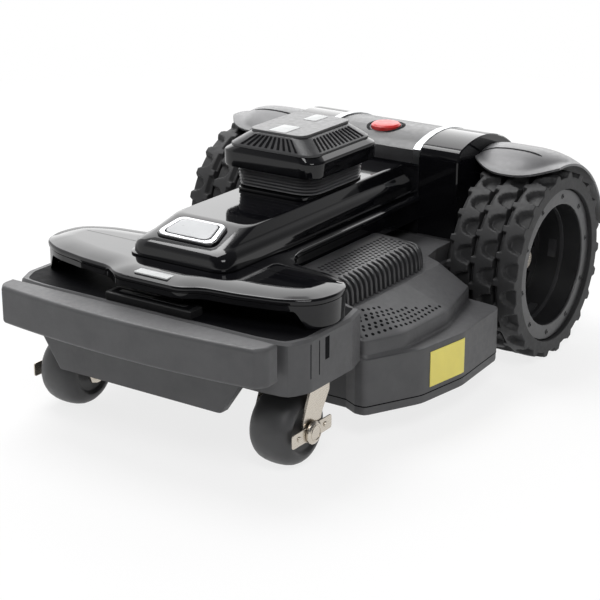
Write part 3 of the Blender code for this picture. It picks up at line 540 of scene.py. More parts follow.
def spine():
    """Raised back of the body: flange, steep round-shouldered sides and a sloping nose."""
    low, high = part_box("spine_cover")
    rise, wall = high.z - low.z, 0.0022
    profile = [
        (-0.0042, 0.003, 0.003), (0.0, 0.003, 0.003), (0.0004, 0.0, 0.0), (0.0020, 0.0, 0.0),
        (0.0026, 0.0028, 0.0028), (0.0100, 0.0036, 0.0036), (0.0135, 0.0050, 0.0052),
        (0.0165, 0.0074, 0.0080), (0.0190, 0.0102, 0.0125), (0.0210, 0.0132, 0.0180),
        (0.0230, 0.0150, 0.0255), (rise - 0.0020, 0.0180, 0.0640), (rise - 0.0008, 0.0196, 0.0700),
        (rise, 0.0222, 0.0760),
    ]
    outer, inner = [], []
    for lift, narrow, back in profile:
        half = [(high.x - narrow, low.y + back), (high.x - narrow, high.y)]
        plan = Plan(*mirrored(half, [0.024 - narrow * 0.25, 0.002]), steps=9)
        z = low.z + lift
        outer.append(plan.loop(z))
        inner.append(plan.inset(wall).loop(z - wall if inner else z))
    item = piece("gloss_spine", *loft(inner[::-1] + outer), "gloss_black", "chassis", 50)
    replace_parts(even_normals(item), "spine_cover")


def bumper():
    """Bowed bar with well rounded edges."""
    low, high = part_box("bumper")
    wide, bow, edge = high.x, 0.012, 0.005
    face = low.y + bow
    half = []
    for step in range(1, 13):
        share = step / 12
        half.append((share * (wide - 0.010), face - bow * (1 - share * share)))
    half += [(wide, face + 0.012), (wide, high.y)]
    plan = Plan(*mirrored(half, [0.02] * 11 + [0.006, 0.012, 0.002]), steps=3)
    lower, upper = [], []
    for step in range(7):
        angle = math.pi / 2 * step / 6
        inset = plan.inset(edge * (1 - math.cos(angle)))
        lower.append(inset.loop(low.z + edge * (1 - math.sin(angle))))
        upper.append(inset.loop(high.z - edge * (1 - math.sin(angle))))
    item = piece("bumper_bar", *loft(lower[::-1] + upper), "body_grey", "bumper_bar", 50)
    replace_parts(even_normals(item), "bumper")


def badge():
    """Blank badge with round corners: dark foot, bright rim, dark groove of painted shade and a raised silver
    field.
    """
    points, centre, normal = top_outline("badge_plate")
    other = normal.cross(X_AXIS)
    flat = [Vector(((p - centre).dot(X_AXIS), (p - centre).dot(other))) for p in points]
    front, rear = min(p.y for p in flat), max(p.y for p in flat)
    middle = (front + rear) / 2
    front_half = max(abs(p.x) for p in flat if p.y < middle)
    rear_half = max(abs(p.x) for p in flat if p.y > middle)
    corners = [(front_half, front), (rear_half, rear), (-rear_half, rear), (-front_half, front)]
    outline = rounded(corners, [0.011] * 4, 10)
    layers = (
        ("badge_foot", 1.07, 0.0004, "gloss_black"), ("badge_rim", 1.0, 0.0014, "chrome"),
        ("badge_groove_shade", 0.86, 0.0016, "slot_dark"), ("badge_field", 0.80, 0.0022, "satin_silver"),
    )
    for name, grow, lift, look in layers:
        loops = []
        for share, rise in ((1.0, -0.0034), (1.0, lift - 0.0006), (0.985, lift - 0.0001), (0.96, lift)):
            size = grow * share
            foot = centre + normal * rise
            loops.append([foot + X_AXIS * (p.x * size) + other * (p.y * size) for p in outline])
        item = piece(name, *loft(loops), look, "chassis", 50)
        if name == "badge_rim":
            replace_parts(item, "badge_plate")


def beam_trough_shade():
    """Dark sheet on the floor of the trough on top of the front beam: painted shade in the trough."""
    points, centre, normal = top_outline("front_beam")
    loops = []
    for rise in (-0.0003, 0.0002):
        loops.append([centre + (p - centre) * 0.97 + normal * rise for p in points])
    piece("beam_trough_shade", *loft(loops), "slot_dark", "chassis")


def rear_hood():
    """Gloss arches beside the silver strips, with a wall next to each wheel."""
    bead, sunk = 0.0015, 0.0002
    for name, side in SIDES:
        node = "rear_hood_" + name
        low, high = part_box(node)
        inner_x, outer_x = faces_of(node, side)
        radius = high.z - AXLE_Z
        front, bottom = low.y - AXLE_Y, low.z
        rear_angle = math.asin((high.y - AXLE_Y) / radius)
        inner = hood_line(radius - HOOD_WALL, front + HOOD_WALL, rear_angle, bottom)
        loops = []
        for x, shrink in ((inner_x, 0.0), (outer_x - side * bead, 0.0), (outer_x, bead)):
            line = hood_line(radius - shrink, front + shrink, rear_angle, bottom)
            loops.append([Vector((x, AXLE_Y + y, z)) for y, z in line + inner[::-1]])
        item = piece("gloss_hood_" + name, *loft(loops), "gloss_black", "chassis", 35)
        loops = []
        for x in (outer_x - side * sunk, outer_x - side * HOOD_WALL):
            loops.append([Vector((x, AXLE_Y + y, z)) for y, z in inner])
        piece("hood_wall_" + name, *loft(loops), "gloss_black", "chassis")
        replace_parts(even_normals(item), node)


def hood_line(radius, front, rear_angle, bottom, steps=44):
    """Side view of the hood from its front foot over the axle to its rear foot."""
    start = math.asin((front + 0.010) / radius)
    brow = AXLE_Z + radius * math.cos(start)
    line = [(front, bottom), (front, brow - 0.022)]
    corner = ((front, brow - 0.018), (front + 0.0008, brow - 0.006), (radius * math.sin(start), brow))
    line += [bend(*map(Vector, corner), step / 8) for step in range(1, 9)]
    for step in range(1, steps + 1):
        angle = between((start, rear_angle), step / steps)
        line.append((radius * math.sin(angle), AXLE_Z + radius * math.cos(angle)))
    line.append((line[-1][0], bottom))
    return line


def hood_front():
    """Dark wall below the brow of the hood, between its two gloss arches."""
    low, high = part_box("hood_centre")
    strip_low, strip_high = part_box("hood_strip_right")
    half, head, front = strip_high.x + 0.0002, high.z - 0.032, strip_low.y
    loops = []
    for y, shrink in ((front + 0.0004, 0.0), (front - 0.0002, 0.0), (front - 0.0006, 0.0008)):
        x, z = half - shrink, head - shrink
        loops.append([Vector((-x, y, low.z)), Vector((x, y, low.z)), Vector((x, y, z)), Vector((-x, y, z))])
    piece("hood_front", *loft(loops), "gloss_black", "chassis")


def rim_dish():
    """Raised ring and five pads inside each deep rim."""
    centre = Vector((0, AXLE_Y, AXLE_Z))
    section = [(0.026, 0.0005), (0.026, -0.0030), (0.0285, -0.0034), (0.031, -0.0030), (0.031, 0.0005)]
    for name, side in SIDES:
        face = faces_of("rim_ring_" + name, side)[1]
        places = [(face - side * deep, DISH_OPENING + rise) for deep, rise in section]
        piece("dish_ring_" + name, *turned(centre, places, 64), "dark_satin", "wheel_" + name)
        pads = []
        for middle in around(DISH_PADS, 0.3):
            loops = []
            for drop, half in ((0.0005, 0.16), (0.0034, 0.16), (0.0040, 0.1472)):
                reach = DISH_OPENING - drop
                corners = ((0.036, -half), (0.036, half), (0.047, half), (0.047, -half))
                loops.append([axle_point(face - side * deep, middle + turn, reach) for deep, turn in corners])
            pads.append(loft(loops))
        piece("dish_pads_" + name, *merge(pads), "dark_satin", "wheel_" + name)


def deck_plans():
    """Plans of the deck's side wall, of its raised terrace and of its flat top."""
    low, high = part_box("cutting_deck")
    notch, lap = 0.009, 0.004
    wide, front, neck = high.x + 0.0004, low.y + notch, high.y
    rear = neck - 0.070
    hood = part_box("rear_hood_right")[1].x
    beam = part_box("front_beam")[1].x
    wall = [
        (beam - 0.034, front), (beam - 0.016, front - notch), (beam - 0.003, front - notch),
        (wide - 0.012, front + 0.060), (wide, front + 0.135), (wide - 0.007, rear),
        (hood + 0.013, rear + 0.006), (hood, rear + 0.034), (hood, neck),
    ]
    terrace = [
        (beam - 0.036, front + lap), (beam - 0.019, front - notch + lap), (beam - 0.005, front - notch + lap),
        (wide - 0.027, front + 0.045), (wide - 0.023, front + 0.135), (wide - 0.048, rear - lap),
        (hood + 0.011, rear + 0.001), (hood - 0.003, rear + 0.031), (hood - 0.003, neck - 0.001),
    ]
    edge = VENT_OUTER + 0.005
    top = [
        (edge - 0.026, front + 0.002), (edge - 0.016, front + 0.002), (edge - 0.006, front + 0.002),
        (edge, front + 0.034), (edge + 0.002, front + 0.135), (edge, rear - 0.016),
        (hood, rear), (hood - 0.006, rear + 0.034), (hood - 0.006, neck - 0.001),
    ]
    corners = [0.004, 0.004, 0.010, 0.040, 0.060, 0.012, 0.010, 0.006, 0.003]
    return [Plan(*mirrored(half, corners)) for half in (wall, terrace, top)]


def deck_skin():
    """Cutting deck: side wall, widening ledge, and a terrace up to the flat top."""
    low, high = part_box("cutting_deck")
    wall, terrace, top = deck_plans()
    ledge, shoulder = 0.104, 0.127
    levels = [
        (low.z, wall), (ledge - 0.0022, wall), (ledge - 0.0007, wall.inset(0.0006)),
        (ledge, wall.inset(0.0022)), (ledge + 0.0022, terrace.inset(-0.0018)),
        (ledge + 0.0034, terrace.inset(-0.0006)), (ledge + 0.0050, terrace), (shoulder - 0.0055, terrace),
        (shoulder - 0.0022, terrace.inset(0.0012)), (shoulder, terrace.inset(0.0042)),
        (high.z - 0.0004, top.inset(-0.0012)), (high.z, top),
    ]
    outer = [plan.loop(z) for z, plan in levels]
    inner = [wall.inset(DECK_WALL).loop(low.z)]
    inner += [plan.inset(DECK_WALL).loop(z - DECK_WALL) for z, plan in levels[1:]]
    hole = sleeve_hole(outer[-1])
    rings = [[Vector((*point, z)) for point in hole] for z in (high.z, high.z - DECK_WALL)]
    item = piece("deck_skin", *loft(outer + rings + inner[::-1], ring=True), "body_grey", "chassis", 30)
    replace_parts(even_normals(item), "cutting_deck")
    # Dark strip round the foot of the side wall: painted shade in the seam there.
    heights = (low.z - 0.0004, low.z + 0.0009)
    seam = [wall.inset(-0.00015).loop(z) for z in heights]
    seam += [wall.inset(0.002).loop(z) for z in heights[::-1]]
    piece("deck_seam_shade", *loft(seam, ring=True), "slot_dark", "chassis")
    return item


def sleeve_hole(outline):
    """Nearly square hole round the lift sleeve, point for point with an outline about it."""
    middle = centre_of("lift_sleeve").to_2d()
    reach = half_size("lift_sleeve") + Vector((0.0012, 0.0012, 0))
    hole = []
    for point in outline:
        away = (point.to_2d() - middle).normalized()
        bulge = (abs(away.x / reach.x) ** 8 + abs(away.y / reach.y) ** 8) ** -0.125
        hole.append(middle + away * bulge)
    return hole


def near_rear(y, length):
    """0 along the vent, rising to 1 over a length before its rear end."""
    return max(0.0, (y - VENT_REAR + length) / length)


def vent_outer(y):
    """Outer reach of the vent mound, which closes in towards its rear end."""
    return VENT_OUTER - VENT_CLOSING * near_rear(y, VENT_CLOSING_LENGTH) ** 2


def vent_fall(y):
    """Fall of the mound's top towards its rear end."""
    return VENT_FALL * near_rear(y, VENT_FALL_LENGTH) ** 2


def vent_mounds():
    """Hump beside the waist with a perforated roof and a row of round-shouldered fins."""
    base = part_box("cutting_deck")[1].z
    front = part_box("vent_fins_right")[0].y
    pitch = (VENT_REAR - front) / VENT_FINS
    roofs = {}
    for name, side in SIDES:
        loops = []
        for step in range(41):
            y = between((front, VENT_REAR), step / 40)
            outer = vent_outer(y)
            top = base + VENT_HEIGHT - vent_fall(y)
            section = [
                (VENT_INNER, base - 0.001), (outer - 0.010, base - 0.001), (outer - 0.010, base + 0.010),
                (outer - 0.0110, top - 0.0090), (outer - 0.0135, top - 0.0040),
                (outer - 0.0175, top - 0.0008), (outer - 0.0225, top + 0.0010),
                (VENT_INNER + 0.02, top + 0.0024), (VENT_INNER, top + 0.0030),
            ]
            loops.append([Vector((side * x, y, z)) for x, z in section])
        roofs[name] = piece("vent_mound_" + name, *loft(loops), "dark_satin", "chassis", 35)
        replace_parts(roofs[name], "vent_roof_" + name)
        places = [front + (number + 0.3) * pitch for number in range(VENT_FINS)]
        fins = [vent_fin(y, pitch * 0.45, side, base) for y in places]
        item = piece("vent_blades_" + name, *merge(fins), "dark_satin", "chassis", 35)
        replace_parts(item, "vent_fins_" + name)
    return roofs


def vent_fin(y, thickness, side, base):
    """One fin: upright at its foot and rolled over the shoulder of the mound."""
    outer = vent_outer(y + thickness)
    rise = VENT_HEIGHT - vent_fall(y + thickness)
    curve = [
        (0.0, 0.0), (0.0004, 0.35), (0.0014, 0.58), (0.0034, 0.76), (0.0066, 0.90), (0.0108, 0.985),
        (0.0160, 1.03), (0.0205, 1.045), (0.0215, 0.96), (0.0150, 0.80), (0.0125, 0.0),
    ]
    middle = Vector((side * (outer - 0.009), base + rise * 0.6))
    bead = 0.0009
    loops = []
    for place, shrink in ((y, 0.90), (y + bead, 1.0), (y + thickness - bead, 1.0), (y + thickness, 0.90)):
        loop = []
        for inward, lift in curve:
            point = Vector((side * (outer - inward), base + rise * lift))
            if lift > 0.2:
                point = middle.lerp(point, shrink)
            loop.append(Vector((point.x, place, point.y)))
        loops.append(loop)
    return loft(loops)


def fenders():
    """Satin guards over the wheels: a drooping lobe in front, then an even sweep about the axle."""
    rows, columns = 56, 26
    for name, side in SIDES:
        edges = faces_of("fender_" + name, side)
        loops = []
        for row in range(rows + 1):
            outer, inner = [], []
            for column in range(columns + 1):
                share = column / columns
                degrees = between((fender_start(share), FENDER_REAR), (row / rows) ** 1.25)
                outer.append(fender_point(edges, share, degrees, 0.0))
                inner.append(fender_point(edges, share, degrees, -FENDER_WALL))
            loops.append(outer + inner[::-1])
        item = piece("fender_shell_" + name, *loft(loops), "fender_grey", "chassis", 50)
        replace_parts(item, "fender_" + name)
        fender_crease_shade(name, edges)


def fender_crease_shade(name, edges):
    """Dark line across the crown of a fender, from its inner edge outward: painted shade of the fender's crease.
    """
    steps = 18
    loops = []
    for step in range(steps + 1):
        share = CREASE_REACH * step / steps
        half = CREASE_WIDTH / 2 * (0.35 if step in (0, steps) else 1.0)
        corners = ((-half, -0.0008), (half, -0.0008), (half, 0.0002), (-half, 0.0002))
        loops.append([fender_point(edges, share, CREASE_ANGLE + aside, lift) for aside, lift in corners])
    piece("fender_crease_shade_" + name, *loft(loops), "slot_dark", "chassis")


def fender_start(share):
    """Angle of the lobe's front edge, for a share of the fender's width."""
    aside = (share - 0.45) / 0.45
    return FENDER_FRONT + (14.0 * aside ** 2 if aside < 0 else 9.0 * aside ** 3)


def fender_point(edges, share, degrees, lift):
    """Place on a fender, by a share of its width from the inner edge and an angle from the top."""
    fall = 0.16 * max(0.0, 1 - share / 0.25) ** 2 + max(0.0, (share - 0.45) / 0.55) ** 2.6
    ease = min(1.0, (degrees - fender_start(share)) / FENDER_DROOP_ANGLE)
    radius = FENDER_CREST - fall * (FENDER_CREST - FENDER_EDGE) - FENDER_DROOP * (1 - ease) ** 2
    return axle_point(between(edges, share), math.radians(degrees), max(FENDER_EDGE, radius) + lift)


def unit_housing():
    """Power unit with round corners: base with a sloping shoulder, cap and top plate."""
    low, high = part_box("power_unit_base")
    centre = (low + high) / 2
    base, cap, plate = [half_size("power_unit_" + name) for name in ("base", "cap", "top_plate")]
    levels = [
        (low.z, base, -0.0040), (low.z + 0.0012, base, -0.0014), (low.z + 0.004, base, -0.0002),
        (high.z - 0.0075, base, 0.0), (high.z - 0.0055, base, -0.0005), (high.z - 0.0042, base, -0.0018),
        (high.z - 0.0006, base.lerp(cap, 0.9), 0.0), (high.z, cap, 0.0),
    ]
    housing("unit_base", levels, centre, 0.024, "power_unit_base", "gloss_black")
    low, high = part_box("power_unit_cap")
    head = plate + CAP_MARGIN
    levels = [
        (low.z, cap, 0.0), (low.z + 0.0022, cap, 0.0), (low.z + 0.0030, cap, -0.0006),
        (high.z - 0.0012, cap.lerp(head, 0.95), -0.0002), (high.z, head, -0.0010),
    ]
    housing("unit_cap", levels, centre, 0.022, "power_unit_cap", "dark_satin")
    low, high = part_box("power_unit_top_plate")
    levels = [
        (low.z, plate, 0.0), (high.z - 0.0010, plate, 0.0), (high.z - 0.0003, plate, -0.0003),
        (high.z, plate, -0.0012),
    ]
    housing("unit_plate", levels, centre, 0.014, "power_unit_top_plate", "dark_satin")


def housing(name, levels, centre, radius, node, look):
    """Closed body from rounded rectangles, in place of a node of the power unit."""
    loops = []
    for z, half, grow in levels:
        loops.append(rectangle(centre, z, half.x + grow, half.y + grow, radius + grow, 10))
    item = piece(name, *loft(loops), look, "cutting_unit", 35)
    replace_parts(even_normals(item), node)


def power_unit_louvre_shades():
    """Dark strips on the four slopes of the power unit cap: painted shade in the louvre slots."""
    low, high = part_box("power_unit_cap")
    foot_half = half_size("power_unit_cap")
    head_half = half_size("power_unit_top_plate") + CAP_MARGIN
    slots = []
    for axis, count in ((0, 12), (1, 10)):
        for sign in (-1, 1):
            for number in range(count):
                share = (2 * number + 1) / count - 1
                ends = []
                for z, half in ((low.z + 0.0027, foot_half), (high.z, head_half)):
                    point = (low + high) / 2
                    point[axis] += sign * half[axis]
                    point[1 - axis] += share * (half[1 - axis] - 0.017)
                    point.z = z
                    ends.append(point)
                foot, head = ends
                slots.append(slot_bar(foot.lerp(head, 0.10), foot.lerp(head, 0.88), axis, sign))
    piece("cap_louvre_shades", *merge(slots), "slot_dark", "cutting_unit")


def slot_bar(start, end, axis, sign):
    """Thin strip laid on a slope, between two points, narrower at its end."""
    across = Y_AXIS if axis == 0 else X_AXIS
    outward = across.cross(end - start).normalized()
    if outward[axis] * sign < 0:
        outward = -outward
    half_foot, half_head, sunk, proud = 0.0017, 0.00136, -0.0006, 0.0004
    foot, head = across * half_foot, across * half_head
    corners = (start - foot, start + foot, end + head, end - head)
    return loft([[corner + outward * lift for corner in corners] for lift in (sunk, proud)])


def tread_height(turn, across):
    """Share of the lug height on a tread band: crown, half-moon pocket and toothed edge."""
    pocket = ((turn - 0.5) / 0.34) ** 2 + ((across - 1.02) / 0.60) ** 2
    if pocket < 1.0:
        return 0.04 if pocket < 0.86 else 0.5
    if across < 0.20:
        return 1.0 if turn < 0.16 or turn > 0.84 else 0.10 + 0.9 * max(0.0, across - 0.10) / 0.10
    return 1.0 - 0.10 * (2 * across - 1) ** 2


def tyres():
    """Three bands of scooped lugs on each drive wheel."""
    steps_per_lug, across_steps, shift, cheek = 18, 14, 6, 0.006
    for name, side in SIDES:
        inner, outer = faces_of("tyre_" + name, side)
        root = half_size("tyre_" + name).z - TREAD_DEPTH
        trough = root - 0.007
        bore = half_size("rim_" + name).z + 0.0004
        width = (abs(outer - inner) - (TREAD_BANDS - 1) * TREAD_GROOVE) / TREAD_BANDS
        loops = []
        for step, angle in enumerate(around(TREAD_LUGS * steps_per_lug)):
            loop = [(inner, bore), (inner, bore + cheek)]
            for number in range(TREAD_BANDS):
                start = inner + side * number * (width + TREAD_GROOVE)
                turn = ((step + shift * number) % steps_per_lug) / steps_per_lug
                loop.append((start, trough))
                for k in range(across_steps + 1):
                    across = k / across_steps
                    rise = tread_height(turn, across) * TREAD_DEPTH
                    loop.append((start + side * across * width, root + rise))
                loop.append((start + side * width, trough))
            loop += [(outer, bore + cheek), (outer, bore)]
            loops.append([axle_point(x, math.pi - angle, reach) for x, reach in loop])
        item = piece("tread_" + name, *loft(loops, ring=True), "tyre_rubber", "wheel_" + name, 50)
        break_edges(item, 0.0008, 1, 40)
        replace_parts(item, "tyre_" + name)


def wheel_screws():
    """Ten socket screws in each rim ring, with painted shade in their sockets."""
    for name, side in SIDES:
        node = "rim_ring_" + name
        face = faces_of(node, side)[1]
        radius = (half_size(node).z + DISH_OPENING) / 2
        outward = X_AXIS * side
        heads, sockets = [], []
        for angle in around(RIM_SCREWS, 0.25):
            place = axle_point(face, angle, radius)
            heads.append(button_head(place, outward, 0.0036, 0.0009))
            # dark disc in each screw's socket: painted shade
            sockets.append(button_head(place + outward * 0.0008, outward, 0.0019, 0.0002, 6))
        piece("rim_screws_" + name, *merge(heads), "dark_plastic", "wheel_" + name)
        piece("rim_socket_shades_" + name, *merge(sockets), "slot_dark", "wheel_" + name)


def caster_treads():
    """Barrel-shaped caster wheels with dished faces, and a raised ring on each axle cap."""
    ring = [(-0.0010, 0.0078), (0.0003, 0.0078), (0.0007, 0.0082), (0.0007, 0.0096), (-0.0010, 0.0100)]
    for name, side in SIDES:
        centre = centre_of("caster_wheel_" + name)
        half, _, radius = half_size("caster_wheel_" + name)
        right = [
            (half - 0.0040, CASTER_BORE), (half - 0.0040, 0.0240), (half - 0.0030, 0.0262),
            (half - 0.0004, 0.0285), (half, 0.0305), (half - 0.0008, 0.0338), (half - 0.0028, 0.0372),
            (half - 0.0062, 0.0403), (half - 0.0105, 0.0427), (half - 0.0160, radius - 0.0009),
            (half - 0.0220, radius - 0.0002),
        ]
        section = [(-x, reach) for x, reach in right] + [(0.0, radius)] + right[::-1]
        mesh = turned(centre, section, 72)
        item = piece("caster_tread_" + name, *mesh, "caster_rubber", "caster_roller_" + name, 50)
        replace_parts(item, "caster_wheel_" + name)
        face = faces_of("caster_axle_" + name, side)[1] - centre.x
        mesh = turned(centre, [(face + side * lift, reach) for lift, reach in ring], 48)
        piece("axle_ring_" + name, *mesh, "stainless", "caster_" + name)


def caster_rivets():
    """Two rivets on each scraper."""
    for name, side in SIDES:
        node = "caster_scraper_" + name
        middle = centre_of(node)
        heads = []
        for along in (-0.026, 0.026):
            place = Vector((faces_of(node, side)[1], middle.y + along, middle.z))
            heads.append(button_head(place, X_AXIS * side, 0.0032, 0.0016))
        piece("scraper_rivets_" + name, *merge(heads), "stainless", "caster_" + name)


def shade_spots_on(surface, places, radius, name):
    """Dark discs laid on a surface from above: painted shade in its holes."""
    discs = []
    for x, y in places:
        hit, place, normal, _ = surface.ray_cast(Vector((x, y, ABOVE)), DOWN)
        if hit and normal.z > 0.3:
            discs.append(button_head(place - normal * 0.0001, normal, radius, 0.00025, 8))
    piece(name, *merge(discs), "slot_dark", "chassis")


def hole_pattern_shades(roofs, deck):
    """Painted shade of the hole patterns on the vent roofs and beside the fins."""
    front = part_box("vent_fins_right")[0].y
    rows, roof_pitch, deck_pitch = 6, 0.0072, 0.0082
    for name, side in SIDES:
        above, beside = [], []
        for row in range(rows):
            shift = 0.5 * (row % 2)
            for k in range(int((VENT_REAR - front - 0.060) / roof_pitch)):
                y = front + 0.034 + (k + shift) * roof_pitch
                above.append((side * (vent_outer(y) - 0.0250 - row * 0.0062), y))
            for k in range(17 - 2 * row):
                y = AXLE_Y - 0.370 + (k + shift) * deck_pitch
                bulge = math.sin(math.pi / 2 * min(1.0, (k + 2) * deck_pitch / 0.10))
                beside.append((side * (0.190 + 0.027 * bulge - row * 0.0066), y))
        shade_spots_on(roofs[name], above, 0.0024, "roof_hole_shade_" + name)
        shade_spots_on(deck, beside, 0.0023, "deck_hole_shade_" + name)


def plate_on(name, centre, half_x, half_y, thickness, radius, look, body):
    """Thin bare plate lying on a level face."""
    loops = []
    for lift, grow in ((0.0, 1.0), (0.8, 1.0), (1.0, 0.985)):
        z = centre.z + thickness * lift
        loops.append(rectangle(centre, z, half_x * grow, half_y * grow, radius * grow))
    piece(name, *loft(loops), look, body)


def bare_plates():
    """Blank plates on the power unit and the cover, and the charging contact's strip over a dark sheet of painted
    shade in its recess.
    """
    low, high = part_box("power_unit_top_plate")
    middle = (low + high) / 2
    for name, ahead, half_x, half_y in (("front", -0.034, 0.0125, 0.017), ("rear", 0.034, 0.0095, 0.015)):
        centre = Vector((0, middle.y + ahead, high.z))
        plate_on("top_panel_" + name, centre, half_x, half_y, 0.0004, 0.002, "plate_white", "cutting_unit")
    centre = Vector((0, AXLE_Y - 0.508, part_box("body_cover")[1].z - 0.0022))
    plate_on("front_badge", centre, 0.024, 0.0075, 0.0016, 0.0015, "plate_white", "chassis")
    low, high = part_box("contact_block")
    half = half_size("contact_block")
    centre = Vector(((low.x + high.x) / 2, (low.y + high.y) / 2, high.z))
    # Dark sheet in the contact block's recess: painted shade.
    plate_on("contact_recess_shade", centre, half.x - 0.006, half.y - 0.004, 0.0002, 0.002, "slot_dark", "chassis")
    plate_on("contact_strip", centre, half.x - 0.014, half.y - 0.009, 0.0006, 0.001, "dark_satin", "chassis")


def wall_patch(name, surface, side, y_range, z_range, look, proud=0.0008):
    """Thin sheet that follows a side wall between two lengths and two heights."""
    columns, rows, sunk = 10, 6, 0.0004
    loops = []
    for column in range(columns + 1):
        under, over = [], []
        for row in range(rows + 1):
            start = Vector((side * 0.4, between(y_range, column / columns), between(z_range, row / rows)))
            _, place, normal, _ = surface.ray_cast(start, X_AXIS * -side)
            under.append(place - normal * sunk)
            over.append(place + normal * proud)
        loops.append(over + under[::-1])
    piece(name, *loft(loops), look, "chassis")


def side_plate(deck):
    """Blank yellow plate on the right side wall of the deck."""
    wall_patch("side_plate", deck, 1, (AXLE_Y - 0.300, AXLE_Y - 0.236), (0.052, 0.096), "plate_yellow")


def beam_split_shades():
    """Painted shade of two split lines and a small recess in each end of the front beam, as thin dark sheets."""
    low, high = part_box("front_beam")
    beam = NODES["front_beam"]
    marks = ((0.030, 0.0012, 0.016), (0.046, 0.0012, 0.016), (0.058, 0.008, 0.030))
    for name, side in SIDES:
        for number, (start, width, foot) in enumerate(marks, 1):
            y_range = (low.y + start, low.y + start + width)
            z_range = (low.z + foot, high.z - 0.006)
            wall_patch(f"beam_joint_shade_{name}_{number}", beam, side, y_range, z_range, "slot_dark", 0.0002)


def bellows():
    """Rubber bellows with rounded folds."""
    low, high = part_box("bellows")
    centre = (low + high) / 2
    half = half_size("bellows") - Vector((0.001, 0.001, 0))
    ribs, steps = 6, 8
    outside, inside = [], []
    for row in range(ribs * steps + 1):
        share = row / (ribs * steps)
        wave = 0.5 - 0.5 * math.cos(2 * math.pi * ribs * share)
        pull = 0.0055 * (1 - wave ** 0.7) + 0.002 * (1 - share)
        z = between((low.z, high.z), share)
        for loops, inset in ((outside, pull), (inside, pull + 0.0016)):
            loops.append(rectangle(centre, z, half.x - inset, half.y - inset, 0.028, 8))
    item = piece("bellows_folds", *loft(outside + inside[::-1], ring=True), "bellows_rubber", None)
    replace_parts(item, "bellows")
    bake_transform(item)


def button_well_shade():
    """Dark collar round the stop button, on the curve of the hood: painted shade of the recess round the button.
    """
    centre = centre_of("stop_button")
    section = ((0.0208, -0.0005), (0.0225, 0.0012), (0.0262, 0.0002), (0.0262, -0.003), (0.0208, -0.003))
    outside = 0.027
    loops = []
    for angle in around(40):
        spoke = Vector((math.cos(angle), math.sin(angle), 0))
        start = Vector((centre.x, centre.y, ABOVE)) + spoke * outside
        centre.z = NODES["hood_centre"].ray_cast(start, DOWN)[1].z
        loops.append([centre + spoke * reach - DOWN * lift for reach, lift in section])
    piece("button_collar_shade", *loft(loops, ring=True), "slot_dark", "chassis")


def seen_rays(tree):
    """1 for what the camera, gloss and glass show, and 1 for what the camera alone shows."""
    path = tree.nodes.new("ShaderNodeLightPath").outputs
    camera = path["Is Camera Ray"]
    seen = calculate(tree, "Math", "MAXIMUM", camera, path["Is Glossy Ray"])
    return calculate(tree, "Math", "MAXIMUM", seen, path["Is Transmission Ray"]), camera


def room_tone(tree, seen_directly):
    """Colour of the room by direction: a white cove behind the object, darker above and in front."""
    direction = add_node(tree, "TexCoord", "Generated")
    lean = calculate(tree, "VectorMath", "DOT_PRODUCT", direction, ROOM_LEAN)
    share = map_range(tree, lean, From_Min=COVE_EDGE, From_Max=ROOM_EDGE)
    return mix(tree, seen_directly, mix(tree, share, ROOM_WHITE, ROOM_DARK), ROOM_WHITE)


def room():
    """World with the room's tones, a little dimmer as light than as a picture."""
    world = bpy.data.worlds.new("studio")
    bpy.context.scene.world = world
    world.use_nodes = True
    tree = world.node_tree
    seen, seen_directly = seen_rays(tree)
    level = map_range(tree, seen, To_Min=ROOM_LIGHT, To_Max=1.0)
    feed(tree.nodes["Background"], Strength=level, Color=room_tone(tree, seen_directly))


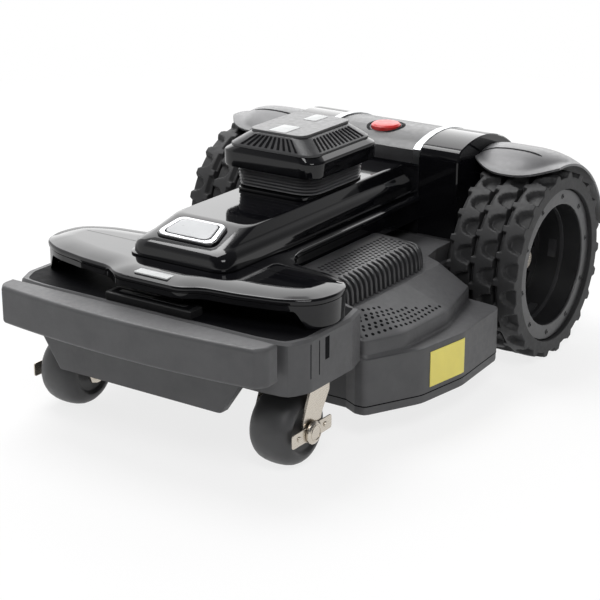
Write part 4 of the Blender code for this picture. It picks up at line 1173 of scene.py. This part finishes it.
def floor():
    """White floor that keeps the object's shadow and runs into the backdrop further away."""
    bpy.ops.mesh.primitive_plane_add(size=FLOOR_SIZE, location=(0, 0, -FLOOR_DROP))
    item = bpy.context.object
    item.name = "floor"
    tree, shader, place = start_material("floor", Roughness=0.9, Specular_IOR_Level=0.1)
    feed(shader, Base_Color=two_tone(tree, noise(tree, place, 3.0), *FLOOR_TONES))
    glow = add_node(tree, "Emission", "Emission", Color=ROOM_WHITE, Strength=1.0)
    distance = calculate(tree, "VectorMath", "LENGTH", place)
    fade = map_range(tree, distance, From_Min=FLOOR_NEAR, From_Max=FLOOR_FAR, To_Min=FLOOR_GLOW, To_Max=1.0)
    share = calculate(tree, "Math", "MULTIPLY", seen_rays(tree)[0], fade)
    blend = tree.nodes.new("ShaderNodeMixShader")
    for socket, value in zip(blend.inputs, (share, shader.outputs["BSDF"], glow)):
        plug(socket, value)
    feed(tree.nodes["Material Output"], Surface=blend.outputs["Shader"])
    item.data.materials.append(MATERIALS["floor"])


def soft_box(name, place, width, height, power):
    """Area lamp turned to the object, out of the camera's sight."""
    lamp = bpy.data.lights.new(name, "AREA")
    lamp.shape = "RECTANGLE"
    lamp.energy = power
    lamp.size = width
    lamp.size_y = height
    item = bpy.data.objects.new(name, lamp)
    item.location = place
    item.rotation_euler = (LAMP_TARGET - Vector(place)).to_track_quat("-Z", "Y").to_euler()
    item.visible_camera = False
    bpy.context.scene.collection.objects.link(item)


def studio():
    """White cove, three soft boxes and a camera at the photograph's place."""
    scene = bpy.context.scene
    scene.view_settings.view_transform = "Standard"
    room()
    floor()
    for lamp in LAMPS:
        soft_box(*lamp)
    back = Vector((
        math.sin(CAMERA_AZIMUTH) * math.cos(CAMERA_ELEVATION),
        -math.cos(CAMERA_AZIMUTH) * math.cos(CAMERA_ELEVATION),
        math.sin(CAMERA_ELEVATION),
    ))
    data = bpy.data.cameras.new("camera")
    data.sensor_width = SENSOR_MM
    data.lens = FOCAL_PIXELS * SENSOR_MM / IMAGE_PIXELS
    camera = bpy.data.objects.new("camera", data)
    camera.location = CAMERA_TARGET + back * CAMERA_DISTANCE
    camera.rotation_euler = (-back).to_track_quat("-Z", "Y").to_euler()
    scene.collection.objects.link(camera)
    scene.camera = camera


dress_frame()
beam_trough_shade()
deck = deck_skin()
roofs = vent_mounds()
bpy.context.view_layer.update()
hole_pattern_shades(roofs, deck)
side_plate(deck)
beam_split_shades()
rear_hood()
hood_front()
fenders()
body_cover()
spine()
badge()
bumper()
tyres()
rim_dish()
wheel_screws()
unit_housing()
power_unit_louvre_shades()
bare_plates()
bellows()
button_well_shade()
caster_treads()
caster_rivets()
studio()
